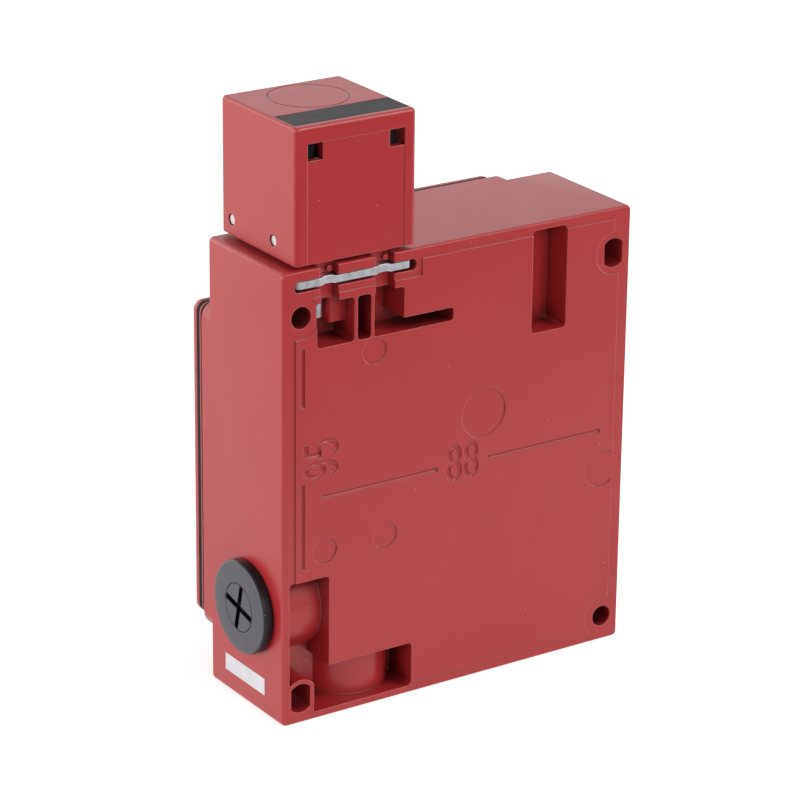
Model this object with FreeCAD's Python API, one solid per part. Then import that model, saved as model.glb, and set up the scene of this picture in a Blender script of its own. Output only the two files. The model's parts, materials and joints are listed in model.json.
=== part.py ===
import FreeCAD, Part
import math
import os

# Tongue interlock switch: a die-cast case with a turret head that takes a tongue, a solenoid
# that can hold the tongue's plunger, and a contact block. Millimetres, +Z up. The origin is the
# centre of the fixing holes on the mounting face, which is the plane Y = 0; the cover faces -Y.

Vec = FreeCAD.Vector
AXES = {"X": Vec(1, 0, 0), "Y": Vec(0, 1, 0), "Z": Vec(0, 0, 1)}

# ---------------------------------------------------------------- clearances and fits
RUN = 0.06          # radial running clearance of pins, rods and the neck
GAP = 0.3           # clearance between pieces that move past each other
SCREW_FIT = 0.1     # radial clearance of small screws in the pieces they hold
PLUG_FIT = 0.05     # clearance round the blanking plug's lid
PAST = 60.0         # how far a cutting tool runs past the piece that it cuts

# ---------------------------------------------------------------- case
HALF_WIDTH = 49.0
CASE_BOTTOM = -53.9
CASE_TOP = 58.7
BLOCK_DEPTH = 33.2          # back block, which the fixing screws pass through
NECK_LENGTH = 3.0           # the cover end of the case is full depth only between the corner notches
SPIGOT_LENGTH = 3.1
GASKET_THICK = 1.7
COVER_THICK = 2.7
LABEL_THICK = 0.3
NECK_DEPTH = BLOCK_DEPTH + NECK_LENGTH
SPIGOT_DEPTH = NECK_DEPTH + SPIGOT_LENGTH
GASKET_DEPTH = SPIGOT_DEPTH + GASKET_THICK
COVER_DEPTH = GASKET_DEPTH + COVER_THICK
LABEL_DEPTH = COVER_DEPTH + LABEL_THICK
NOTCH_X = HALF_WIDTH - 10.8     # half width of the case's front between its corner notches
NOTCH_Z = 41.5                  # half height of the full-width stretch
NOTCH_R = 4.0
EDGE_R = 1.2
SPIGOT_INSET = 2.2
RIM_INSET = 1.3
COVER_INSET = 1.5
CAVITY_INSET = 4.6
BACK_WALL = 3.6
FIELD_STEP = 0.35           # the rim and the corner lands lie this far below the mounting face
RIM_WIDTH = 3.4
RIM_HEIGHT = 2.7
MARK_DEPTH = 0.3            # engraved lines and ejector marks

# ---------------------------------------------------------------- fixing holes
HOLE_X = HALF_WIDTH - 5.0
HOLE_Z = 47.5
HOLE_R = 2.65
SLOT_R = 3.65               # the two adjustable holes are this round, with flats cut to HOLE_R
HOLE_LAND_R = 5.2

# ---------------------------------------------------------------- turret head
HEAD_X = HALF_WIDTH - 19.8
HEAD_Y = -16.6
HEAD_SIDE = 32.4
HALF_HEAD = HEAD_SIDE / 2
HEAD_GAP = 1.0
HEAD_BOTTOM = CASE_TOP + HEAD_GAP
HEAD_TOP = HEAD_BOTTOM + HEAD_SIDE
HEAD_BACK = HEAD_Y + HALF_HEAD
HEAD_FRONT = HEAD_Y - HALF_HEAD
HEAD_WALL = 2.2
HEAD_EDGE_R = 0.9
SLOT_LENGTH = 26.0
SLOT_WIDTH = 7.0
SLOT_OFFSET = 6.4           # slot centre below the head's top, or in front of its back
RECESS_LENGTH = 30.6
RECESS_WIDTH = 9.0
RECESS_DEPTH = 1.0
WINDOW = 4.1
WINDOW_SPREAD = 22.0
WINDOW_DROP = 6.1
TOP_RING_R = 9.6
HEAD_PIN_R = 1.2
HEAD_PIN_Z = HEAD_BOTTOM + 3.7
HEAD_PIN_SPREAD = 18.1      # the pins stand just off the neck, one each side
HEAD_PIN_MIDDLE = HEAD_Y - 2.55
CAM_DROP = SLOT_OFFSET + 10.1   # cam axis below the head's top
CAM_Z = HEAD_TOP - CAM_DROP
CAM_R = 8.6
CAM_LOW_R = 4.1
CAM_NOTCH_R = 4.6
CAM_HALF = 5.6
CAM_SWEEP = 60.0            # degrees that the tongue turns the cam
AXLE_R = 2.0
CHEEK_IN = 6.0
CHEEK_OUT = 9.0
CHEEK_R = 5.8
CORE_PLATE = 7.3            # top of the core's plate above the head's foot
NECK_R = 10.2
NECK_BOTTOM = CASE_TOP - 6.8
NECK_SEAL_R = 0.65
NECK_SEAL_Z = CASE_TOP - 1.05
BORE_FLOOR = CASE_TOP - 7.1
BORE_WALL = 2.2
CLIP_Z = CASE_TOP - 4.7
CLIP_THICK = 1.8
CLIP_HALF = 15.85
CLIP_BACK = -0.9
CLIP_TIP = -27.5
JOGGLE = 0.35
JOGGLE_DEEP = 3.6
GROOVE_R = 8.1

# ---------------------------------------------------------------- cable entries
ENTRY_Y = -15.5
ENTRY_R = 9.25
ENTRY_BOSS_R = 12.0
SIDE_ENTRY_Z = CASE_BOTTOM + 25.9
SIDE_ENTRY_END = HALF_WIDTH - 15.0      # X where the side entry opens into the case
BOTTOM_ENTRY_X = HEAD_X - 5.2
BOTTOM_ENTRY_END = CASE_BOTTOM + 15.5   # Z where the bottom entry opens into the case
PLUG_FLANGE = 2.2
PLUG_SEAL = 0.6
PLUG_R = 11.5

# ---------------------------------------------------------------- pits and marks of the back
PIT_DEPTH = 9.0             # coring pits under the head
PIT_TOP = CASE_TOP - 8.6
PIT_BOTTOM = CASE_TOP - 19.4
PIT_R = 0.8
PIT_WALL = 1.6
HEAD_PITS = [(0.6, 10.7), (-3.95, -0.3), (-13.1, -4.8)]     # X ranges from the head's axis
PIT_TAIL = (-26.85, -11.2)  # the last pit runs on to the right as a low slot
PIT_TAIL_HEIGHT = 3.2
TALL_PIT = (-HALF_WIDTH + 18.9, -HALF_WIDTH + 28.9, CASE_TOP - 27.2, CASE_TOP - 1.7)
TALL_PIT_DEPTH = 8.0
L_PIT_DEPTH = 10.0
L_PIT = {"left": BOTTOM_ENTRY_X - 11.1, "elbow": HALF_WIDTH - 12.65, "right": HALF_WIDTH - 1.9,
         "top": SIDE_ENTRY_Z + 10.3, "step": CASE_BOTTOM + 13.3, "bottom": CASE_BOTTOM + 1.9}
SLOT_WALL = 1.05
CLIP_CHANNELS = [(4.7, 9.7), (-10.5, -5.1)]     # X from the head's axis, where a blade reaches the clip
CHANNEL_DEPTH = 3.0
DATUM_Z = 2.6               # height of the horizontal datum line, half way up the case
DATUM_X = HALF_WIDTH - 5.3
DATUM_WIDTH = 1.0
GUIDE_PIN_X = HEAD_X + 6.8
GUIDE_PIN_Y = -6.7
GUIDE_PIN_R = 1.5
GUIDE_PIN_FOOT = PIT_TOP - 5.5
GUIDE_PIN_LENGTH = 8.2

# ---------------------------------------------------------------- plunger and lock
TRAVEL = 4.5                # plunger stroke
ROD_R = 2.5
TIP_R = 2.0
TIP_GAP = 0.65              # radial gap at the tip, so that the ball clears the sloping cam
LAND_R = 5.0
LAND_HALF = 1.5             # half height of the plunger's grooves
BOLT_Z = CASE_TOP - 22.2
BOLT_R = 2.0
BOLT_TRAVEL = 2.6
LEVER_X = HEAD_X - 27.2
LEVER_DROP = 12.0           # pivot above the bolt
LEVER_REACH = 20.0          # pivot to the armature's axis
LEVER_THICK = 2.4
LEVER_Z = BOLT_Z + LEVER_DROP
LEVER_ANGLE = math.degrees(BOLT_TRAVEL / LEVER_DROP)
ARMATURE_TRAVEL = math.radians(LEVER_ANGLE) * LEVER_REACH
ARMATURE_X = LEVER_X - LEVER_REACH
CROSS_PIN_R = 1.2
FORK_HALF = 3.4             # half width across the forks' two prongs
FORK_SLOT = LEVER_THICK / 2 + 0.4

# ---------------------------------------------------------------- solenoid
YOKE_TOP = CASE_TOP - 44.7
YOKE_BOTTOM = YOKE_TOP - 48.0
YOKE_SHEET = 1.8
YOKE_HALF = 12.0
YOKE_REACH = 24.0
TAB_HALF = 18.0
TAB_SCREW_R = 1.5
COIL_R = 10.3
CORE_R = 4.5
CORE_LENGTH = 19.4
BOBBIN_WALL = 1.2
BOBBIN_FLANGE = 1.5
SPRING_TOP = YOKE_TOP + 8.0

# ---------------------------------------------------------------- contact block
BLOCK_HALF = 15.0
BLOCK_TOP = CASE_TOP - 32.7
BLOCK_BOTTOM = BLOCK_TOP - 39.5
BLOCK_FRONT = -31.0
WELL_HALF = 9.6
WELL_DEEP = 4.0             # half depth of the well along Y
WELL_FLOOR = BLOCK_BOTTOM + 2.0
EAR = 6.4                   # the block's two fixing ears, square
EAR_FRONT = -8.6
POLE_PITCH = 10.5
POLE_Z = [WELL_FLOOR + 7.5 + POLE_PITCH * k for k in range(3)]
CARRIER_HALF = 3.2
BRIDGE_THICK = 0.8
BRIDGE_HALF = 8.8
STRIP_HALF = 1.6
RIVET_R = 1.2
RIVET_HEIGHT = 0.6
CARRIER_TOP = BLOCK_TOP + 3.5
CARRIER_BOTTOM = WELL_FLOOR + 5.5
STUD_OUT = 11.6             # terminal screws either side of the plunger's axis
STUD_R = 1.5

# ---------------------------------------------------------------- cover and what it carries
COVER_SCREW_X = HALF_WIDTH - 7.0
COVER_SCREW_Z = 35.0
COVER_SCREW_R = 1.9
SCREW_HEAD_R = 3.5
SCREW_HEAD = 1.5
SCREW_END = BLOCK_DEPTH - 2.5
POST_R = 5.0
LOCK_X = LEVER_X - 10.0
LOCK_Z = CASE_TOP - 22.7
LOCK_R = 8.0
LOCK_END = 28.0
BARREL_R = 5.6
CAM_ARM = 7.0               # release cam, from its axis to the tip of its lobe
CAM_LOBE_R = 1.8
RELEASE_Y = HEAD_Y - LEVER_THICK / 2
LENS_R = 3.0
LENS_Z = CASE_TOP - 14.7
LENS_PROUD = 0.2
LENS_X = {"indicator_lens_amber": -HALF_WIDTH + 20.0, "indicator_lens_green": -HALF_WIDTH + 28.5}
BOARD = (-HALF_WIDTH + 15.8, -HALF_WIDTH + 32.4, CASE_TOP - 25.7, CASE_TOP - 6.7)
BOARD_POSTS = [(-HALF_WIDTH + 18.7, CASE_TOP - 9.7), (-HALF_WIDTH + 18.7, CASE_TOP - 22.7)]
BOARD_BACK = -BLOCK_DEPTH + 0.6
BOARD_THICK = 1.6
EARTH_X = 3.0
EARTH_Z = CASE_BOTTOM + 9.9
EARTH_SEAT = -9.0


def box(x0, x1, y0, y1, z0, z1):
    """Axis-aligned box between two values on each axis, in either order."""
    low = Vec(min(x0, x1), min(y0, y1), min(z0, z1))
    return Part.makeBox(abs(x1 - x0), abs(y1 - y0), abs(z1 - z0), low)


def rod(axis, r, x, y, z, length):
    """Cylinder from (x, y, z) along +axis, or along -axis where length is negative."""
    way = AXES[axis] * (1 if length > 0 else -1)
    return Part.makeCylinder(r, abs(length), Vec(x, y, z), way)


def ring(axis, r_out, r_in, x, y, z, length):
    return rod(axis, r_out, x, y, z, length).cut(rod(axis, r_in, x, y, z, length))


def edges_along(shape, axis, keep=lambda centre: True):
    """Straight edges that run along one axis and whose centre passes the test."""
    found = []
    for edge in shape.Edges:
        straight = isinstance(edge.Curve, Part.Line)
        if straight and abs(edge.Curve.Direction.dot(AXES[axis])) > 0.999 and keep(edge.CenterOfMass):
            found.append(edge)
    return found


def soft_box(x0, x1, y0, y1, z0, z1, r, axis):
    """Box with its four edges along one axis rounded."""
    block = box(x0, x1, y0, y1, z0, z1)
    return block.makeFillet(r, edges_along(block, axis))


def prism(points, y0, y1):
    """Closed outline of (x, z) points, extruded along Y."""
    loop = [Vec(x, y0, z) for x, z in points]
    face = Part.Face(Part.makePolygon(loop + loop[:1]))
    return face.extrude(Vec(0, y1 - y0, 0))


def front_outline(inset, y0, y1):
    """The cross-shaped front of the case, between its four corner notches."""
    w, n = HALF_WIDTH - inset, NOTCH_X - inset
    low, high, m = CASE_BOTTOM + inset, CASE_TOP - inset, NOTCH_Z - inset
    points = [(-w, -m), (-n, -m), (-n, low), (n, low), (n, -m), (w, -m)]
    points += [(w, m), (n, m), (n, high), (-n, high), (-n, m), (-w, m)]
    body = prism(points, y0, y1)

    def outer(c):
        return abs(abs(c.x) - n) > 0.01 or abs(abs(c.z) - m) > 0.01

    r_out = max(NOTCH_R - inset, 0.8)
    r_in = NOTCH_R + inset
    rounded = body.makeFillet(r_out, edges_along(body, "Y", outer))
    return rounded.makeFillet(r_in, edges_along(rounded, "Y", lambda c: not outer(c)))


def fuse(shapes):
    return shapes[0].multiFuse(shapes[1:]).removeSplitter() if len(shapes) > 1 else shapes[0]


def spring(x, y, z0, z1, r, wire, turns):
    """Coil spring along Z, its wire bent through flats, with its ends inside the two given planes."""
    steps = 12
    low = z0 + wire
    rise = (z1 - z0 - 2 * wire) / (turns * steps)
    points = []
    for k in range(turns * steps + 1):
        t = 2 * math.pi * k / steps
        points.append(Vec(x + r * math.cos(t), y + r * math.sin(t), low + rise * k))
    start = points[1] - points[0]
    section = Part.Wire(Part.makeCircle(wire, points[0], start))
    return Part.makePolygon(points).makePipeShell([section], True, False, 1)


# ================================================================ case
def corner_holes(grow):
    """Two round and two adjustable fixing holes on opposite corners."""
    cuts = []
    for x, z, adjustable in ((1, 1, False), (-1, -1, False), (-1, 1, True), (1, -1, True)):
        hole_r = (SLOT_R if adjustable else HOLE_R) + grow
        hole = rod("Y", hole_r, x * HOLE_X, 1, z * HOLE_Z, -BLOCK_DEPTH - 2)
        if adjustable:
            flat = HOLE_R + grow
            hole = hole.common(box(x * HOLE_X - flat, x * HOLE_X + flat, 2, -BLOCK_DEPTH - 2,
                                   z * HOLE_Z - 9, z * HOLE_Z + 9))
        cuts.append(hole)
    return cuts


def head_pits():
    """Open pits in the back under the head, parted by two thin ribs."""
    pits = [soft_box(HEAD_X + a, HEAD_X + b, 1, -PIT_DEPTH, PIT_BOTTOM, PIT_TOP, PIT_R, "Y")
            for a, b in HEAD_PITS]
    a, b = PIT_TAIL
    top = PIT_BOTTOM + PIT_TAIL_HEIGHT
    pits.append(soft_box(HEAD_X + a, HEAD_X + b, 1, -PIT_DEPTH, PIT_BOTTOM, top, PIT_R, "Y"))
    return pits


def elbow_pit():
    """L-shaped pit round the adjustable hole, where both cable entries' bosses stand out."""
    p = L_PIT
    tall = soft_box(p["elbow"], p["right"], 1, -L_PIT_DEPTH, p["bottom"], p["top"], 1.0, "Y")
    low = soft_box(p["left"], p["right"], 1, -L_PIT_DEPTH, p["bottom"], p["step"], 1.0, "Y")
    wall_r = SLOT_R + SLOT_WALL
    flat = HOLE_X - HOLE_R - SLOT_WALL
    column = fuse([
        rod("Y", wall_r, HOLE_X, 2, -HOLE_Z, -L_PIT_DEPTH - 3).common(
            box(flat, HALF_WIDTH, 2, -L_PIT_DEPTH - 3, -HOLE_Z - PAST, -HOLE_Z + wall_r)),
        box(flat, HALF_WIDTH, 2, -L_PIT_DEPTH - 3, -HOLE_Z - PAST, -HOLE_Z),
    ])
    return fuse([tall, low]).cut(column)


def clip_slot():
    half = CLIP_HALF + 0.75
    top = CLIP_Z + CLIP_THICK + 0.4
    return soft_box(HEAD_X - half, HEAD_X + half, 1, CLIP_TIP - 1, CLIP_Z - 0.5, top, EDGE_R, "Y")


def screw_posts():
    return [(sx * COVER_SCREW_X, sz * COVER_SCREW_Z) for sx in (-1, 1) for sz in (-1, 1)]


def cavity():
    """The hollow of the case: the front's outline, less everything cast inside it."""
    hollow = front_outline(CAVITY_INSET, -SPIGOT_DEPTH - 1, -BACK_WALL)
    p = L_PIT
    wall = PIT_WALL + 0.4
    bore_left = HEAD_X - 18.8
    bore_floor = BORE_FLOOR - BORE_WALL
    x0, x1, z0, z1 = TALL_PIT
    keep = [
        box(bore_left, PAST, 0, -BLOCK_DEPTH + 3.4, bore_floor, CASE_TOP + 1),
        box(HEAD_X - 29.2, PAST, 0, -PIT_DEPTH - PIT_WALL, PIT_BOTTOM - wall, CASE_TOP + 1),
        box(x0 - wall, x1 + wall, 0, -TALL_PIT_DEPTH - wall, z0 - wall, CASE_TOP + 1),
        box(p["elbow"] - wall, PAST, 0, -L_PIT_DEPTH - wall, CASE_BOTTOM - 1, p["top"] + wall),
        box(p["left"] - wall, PAST, 0, -L_PIT_DEPTH - wall, CASE_BOTTOM - 1, p["step"] + wall),
        rod("X", ENTRY_BOSS_R, SIDE_ENTRY_END, ENTRY_Y, SIDE_ENTRY_Z, HALF_WIDTH),
        rod("Z", ENTRY_BOSS_R, BOTTOM_ENTRY_X, ENTRY_Y, BOTTOM_ENTRY_END, -PAST),
        soft_box(bore_left, HEAD_X - 9.2, 0, HEAD_Y - 4.2, BOLT_Z - 4.0, PIT_BOTTOM + 2, PIT_R, "X"),
        rod("Y", 2 * AXLE_R, LEVER_X, 0, LEVER_Z, HEAD_Y + LEVER_THICK / 2 + GAP),
        rod("Y", POST_R, EARTH_X, 0, EARTH_Z, EARTH_SEAT),
    ]
    keep += [rod("Y", POST_R, x, -BLOCK_DEPTH + 6.7, z, -30) for x, z in screw_posts()]
    keep += [rod("Y", 2.6, x, 0, z, BOARD_BACK) for x, z in BOARD_POSTS]
    return hollow.cut(keep)


def rim_step():
    """The mounting face stands a little above its rim, the corners' lands and the strip under the head."""
    w = HALF_WIDTH - RIM_WIDTH
    field = box(-w, w, 1, -FIELD_STEP, CASE_BOTTOM + RIM_HEIGHT, CASE_TOP - RIM_HEIGHT)
    corners = [(sx, sz) for sx in (-1, 1) for sz in (-1, 1)]
    low = [rod("Y", HOLE_LAND_R, sx * HOLE_X, 2, sz * HOLE_Z, -4) for sx, sz in corners]
    low += [box(sx * HOLE_X, sx * PAST, 2, -4, sz * (HOLE_Z - HOLE_LAND_R), sz * PAST)
            for sx, sz in corners]
    low += [
        rod("Y", 4.9, -HALF_WIDTH + 6.8, 2, DATUM_Z - 10.0, -4),
        box(HEAD_X - 18.0, PAST, 2, -4, CASE_TOP - 6.8, PAST),
    ]
    slab = box(-PAST, PAST, 1, -FIELD_STEP, CASE_BOTTOM - 1, CASE_TOP + 1)
    return slab.cut(field.cut(low))


def face_lines():
    """Engraved datum lines, and the sunken marks of the casting's ejector pins."""
    half = DATUM_WIDTH / 2
    cuts = [
        box(DATUM_X - half, DATUM_X + half, 1, -MARK_DEPTH, DATUM_Z + 23.2, DATUM_Z + 37.5),
        box(DATUM_X - half, DATUM_X + half, 1, -MARK_DEPTH, DATUM_Z - 17.1, DATUM_Z + 4.2),
        box(6.1, DATUM_X - 5.2, 1, -MARK_DEPTH, DATUM_Z - half, DATUM_Z + half),
        box(-DATUM_X + 2.2, -8.1, 1, -MARK_DEPTH, DATUM_Z - half, DATUM_Z + half),
    ]
    for x, z, r in ((24.2, 35.9, 3.3), (-6.9, 14.3, 6.25), (37.6, -11.0, 3.3), (20.8, -10.9, 3.3)):
        cuts.append(rod("Y", r, x, 1, z, -1 - MARK_DEPTH))
    return cuts


def channel_ranges():
    return [(HEAD_X + a, HEAD_X + b) for a, b in CLIP_CHANNELS]


def housing():
    block = box(-HALF_WIDTH, HALF_WIDTH, 0, -BLOCK_DEPTH, CASE_BOTTOM, CASE_TOP)
    block = block.makeFillet(EDGE_R, block.Edges)
    spigot = front_outline(SPIGOT_INSET, -NECK_DEPTH + 1, -SPIGOT_DEPTH)
    rim = front_outline(RIM_INSET, -SPIGOT_DEPTH + 0.5, -SPIGOT_DEPTH)
    body = fuse([block, front_outline(0, -BLOCK_DEPTH + 4, -NECK_DEPTH), spigot, rim])
    body = body.cut(cavity())
    cuts = corner_holes(0) + [clip_slot(), rim_step()] + face_lines()
    pits = fuse(head_pits() + [box(x0, x1, 1, -CHANNEL_DEPTH, PIT_TOP - 1, CASE_TOP + 1)
                               for x0, x1 in channel_ranges()])
    # a cast step fills the upper corner of the first pit
    step = soft_box(HEAD_X - 0.2, HEAD_X + 5.0, -4.0, -PIT_DEPTH - 1, PIT_TOP - 6.7, PIT_TOP + 1, 0.9, "Z")
    pits = pits.cut(step)
    entries = [rod("X", ENTRY_BOSS_R, SIDE_ENTRY_END, ENTRY_Y, SIDE_ENTRY_Z, HALF_WIDTH - SIDE_ENTRY_END),
               rod("Z", ENTRY_BOSS_R, BOTTOM_ENTRY_X, ENTRY_Y, CASE_BOTTOM, BOTTOM_ENTRY_END - CASE_BOTTOM)]
    cuts += [pits, elbow_pit().cut(entries)]
    x0, x1, z0, z1 = TALL_PIT
    cuts.append(soft_box(x0, x1, 1, -TALL_PIT_DEPTH, z0, z1, 1.0, "Y"))
    cuts += [
        rod("Z", NECK_R + RUN, HEAD_X, HEAD_Y, BORE_FLOOR, PAST),
        rod("Z", ROD_R + RUN, HEAD_X, HEAD_Y, BORE_FLOOR - 2 * BORE_WALL, PAST),
        rod("Z", LAND_R + 2 * GAP, HEAD_X, HEAD_Y, BLOCK_TOP + 4, BORE_FLOOR - BORE_WALL - BLOCK_TOP - 4),
        rod("X", BOLT_R + RUN, LEVER_X, HEAD_Y, BOLT_Z, HEAD_X - LEVER_X),
        rod("X", ENTRY_R, SIDE_ENTRY_END - 1, ENTRY_Y, SIDE_ENTRY_Z, PAST),
        rod("Z", ENTRY_R, BOTTOM_ENTRY_X, ENTRY_Y, CASE_BOTTOM - 1, BOTTOM_ENTRY_END - CASE_BOTTOM + 2),
        rod("Y", AXLE_R, LEVER_X, -1.6, LEVER_Z, HEAD_Y),
        rod("Y", 1.7, EARTH_X, -2.2, EARTH_Z, -12),
        rod("Z", GUIDE_PIN_R, GUIDE_PIN_X, GUIDE_PIN_Y, GUIDE_PIN_FOOT, GUIDE_PIN_LENGTH),
    ]
    cuts += [rod("Y", COVER_SCREW_R, x, -SCREW_END + 0.5, z, -12) for x, z in screw_posts()]
    cuts += [rod("Y", 1.0, x, BOARD_BACK + 6, z, -8) for x, z in BOARD_POSTS]
    cuts += [rod("Y", TAB_SCREW_R, x, -1.5, z, -6) for x, z in base_screw_places()]
    body = body.cut(cuts)
    nibs = [rod("Y", 0.7, x0 + 1.5, -CHANNEL_DEPTH - 0.5, CASE_TOP - 1.3, 1.6)
            for x0, x1 in channel_ranges()]
    return body.fuse(nibs).removeSplitter()


def ear_corners():
    """Lower left corners of the contact block's two fixing ears."""
    return [(HEAD_X - BLOCK_HALF - EAR, BLOCK_TOP - EAR - 2), (HEAD_X - 2.6, BLOCK_BOTTOM - EAR)]


def base_screw_places():
    """(x, z) of the four screws that hold the solenoid, then of the contact block's two."""
    heights = (YOKE_BOTTOM + 8.0, YOKE_TOP - 8.0)
    places = [(ARMATURE_X + s * (TAB_HALF - 2.6), z) for s in (-1, 1) for z in heights]
    places += [(x + EAR / 2, z + EAR / 2) for x, z in ear_corners()]
    return places


def cover_holes(radius):
    return [rod("Y", radius, x, -BLOCK_DEPTH, z, -PAST) for x, z in screw_posts()]


def front_cover():
    plate = front_outline(COVER_INSET, -GASKET_DEPTH, -COVER_DEPTH)
    front = [e for e in plate.Edges if e.BoundBox.YMax < -COVER_DEPTH + 0.01]
    plate = plate.makeFillet(COVER_THICK * 2 / 3, front)
    seats = [rod("Y", SCREW_HEAD_R + GAP, x, -COVER_DEPTH + SCREW_HEAD, z, -PAST) for x, z in screw_posts()]
    cuts = cover_holes(COVER_SCREW_R + GAP) + seats
    cuts.append(rod("Y", LOCK_R, LOCK_X, -BLOCK_DEPTH, LOCK_Z, -PAST))
    cuts += [rod("Y", LENS_R, x, -BLOCK_DEPTH, LENS_Z, -PAST) for x in LENS_X.values()]
    return plate.cut(cuts)


def cover_gasket():
    outline = front_outline(COVER_INSET, -SPIGOT_DEPTH, -GASKET_DEPTH)
    body = outline.cut(front_outline(CAVITY_INSET, -SPIGOT_DEPTH + 1, -GASKET_DEPTH - 1))
    pads = [rod("Y", POST_R, x, -SPIGOT_DEPTH, z, -GASKET_THICK) for x, z in screw_posts()]
    return fuse([body] + pads).common(outline).cut(cover_holes(COVER_SCREW_R + GAP))


def cross_recess(x, z, y, half, width, depth):
    """Two crossed grooves that open towards -Y at the given plane."""
    w = width / 2
    return [box(x - w, x + w, y - PAST, y + depth, z - half, z + half),
            box(x - half, x + half, y - PAST, y + depth, z - w, z + w)]


def cover_screws():
    made = []
    for x, z in screw_posts():
        shank = rod("Y", COVER_SCREW_R, x, -SCREW_END, z, SCREW_END - COVER_DEPTH + SCREW_HEAD)
        head = rod("Y", SCREW_HEAD_R, x, -COVER_DEPTH, z, SCREW_HEAD)
        made.append(shank.fuse(head).cut(cross_recess(x, z, -COVER_DEPTH, 2.2, 1.0, 1.0)))
    return Part.makeCompound(made)


def rating_label():
    edge = LOCK_Z - LOCK_R - 12.0
    return soft_box(-30, 30, -COVER_DEPTH, -LABEL_DEPTH, CASE_BOTTOM + 15.9, edge, 3.0, "Y")


def date_label():
    z0 = CASE_BOTTOM + 5.2
    return box(HALF_WIDTH, HALF_WIDTH + 0.12, -26.1, -8.3, z0, z0 + 4.3)


# ================================================================ side entry plug
def entry_plug():
    x0 = HALF_WIDTH + PLUG_SEAL
    disc = rod("X", PLUG_R, x0, ENTRY_Y, SIDE_ENTRY_Z, PLUG_FLANGE)
    disc = disc.makeFillet(0.5, [e for e in disc.Edges if e.BoundBox.XMin > x0 + PLUG_FLANGE - 0.01])
    shank = rod("X", ENTRY_R - RUN, x0, ENTRY_Y, SIDE_ENTRY_Z, -11)
    body = disc.fuse(shank).cut(rod("X", 7.2, x0 - 0.4, ENTRY_Y, SIDE_ENTRY_Z, -12))
    face = x0 + PLUG_FLANGE
    groove = ring("X", 6.1, 5.85, face - 0.25, ENTRY_Y, SIDE_ENTRY_Z, 1)
    y, z = ENTRY_Y, SIDE_ENTRY_Z
    cross = [soft_box(face - 1.4, face + 1, y - a, y + a, z - b, z + b, 0.3, "X")
             for a, b in ((0.65, 4.9), (4.9, 0.65))]
    for arm in cross:
        arm.rotate(Vec(0, ENTRY_Y, SIDE_ENTRY_Z), AXES["X"], 24)
    return body.cut(cross + [groove]).removeSplitter()


def entry_plug_seal():
    return ring("X", PLUG_R - 0.5, ENTRY_R, HALF_WIDTH, ENTRY_Y, SIDE_ENTRY_Z, PLUG_SEAL)


# ================================================================ head
def head_box(x, y0, y1, z0, z1):
    """Box centred on the head in X."""
    return box(HEAD_X - x, HEAD_X + x, y0, y1, z0, z1)


def pin_bores(radius, reach):
    """Two cross holes or pins low in the head, one in front of the neck and one behind it."""
    places = [HEAD_PIN_MIDDLE + side * HEAD_PIN_SPREAD / 2 for side in (-1, 1)]
    return [rod("X", radius, HEAD_X - reach, y, HEAD_PIN_Z, 2 * reach) for y in places]


def turret_head():
    shell = head_box(HALF_HEAD, HEAD_FRONT, HEAD_BACK, HEAD_BOTTOM, HEAD_TOP)
    shell = shell.makeFillet(EDGE_R, edges_along(shell, "Z"))
    shell = shell.makeFillet(HEAD_EDGE_R, [e for e in shell.Edges if e.BoundBox.ZMin > HEAD_TOP - 0.01])
    inner = HALF_HEAD - HEAD_WALL
    cuts = [head_box(inner, HEAD_Y - inner, HEAD_Y + inner, HEAD_BOTTOM - 1, HEAD_TOP - HEAD_WALL)]
    a, b = SLOT_OFFSET - SLOT_WIDTH / 2, SLOT_OFFSET + SLOT_WIDTH / 2
    c, d = SLOT_OFFSET - RECESS_WIDTH / 2, SLOT_OFFSET + RECESS_WIDTH / 2
    cuts += [
        head_box(SLOT_LENGTH / 2, HEAD_BACK - b, HEAD_BACK - a, HEAD_TOP - 5, HEAD_TOP + 1),
        head_box(RECESS_LENGTH / 2, HEAD_BACK - d, HEAD_BACK - c, HEAD_TOP - RECESS_DEPTH, HEAD_TOP + 1),
        head_box(SLOT_LENGTH / 2, HEAD_FRONT - 1, HEAD_FRONT + 5, HEAD_TOP - b, HEAD_TOP - a),
        head_box(RECESS_LENGTH / 2, HEAD_FRONT - 1, HEAD_FRONT + RECESS_DEPTH, HEAD_TOP - d, HEAD_TOP - c),
    ]
    half = WINDOW / 2
    for side in (-1, 1):
        x = HEAD_X + side * WINDOW_SPREAD / 2
        z = HEAD_TOP - WINDOW_DROP
        cuts.append(box(x - half, x + half, HEAD_BACK - 4, HEAD_BACK + 1, z - half, z + half))
    cuts += pin_bores(HEAD_PIN_R + 0.2, HEAD_SIDE)
    cuts.append(ring("Z", TOP_RING_R, TOP_RING_R - 0.35, HEAD_X - 0.4, HEAD_Y - 4.9, HEAD_TOP - 0.25, 2))
    w = WINDOW_SPREAD / 2 + half
    panel = head_box(w, HEAD_BACK - 0.15, HEAD_BACK + 1, HEAD_BOTTOM - 1, HEAD_TOP - WINDOW_DROP + half)
    return shell.cut(cuts + [panel])


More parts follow.
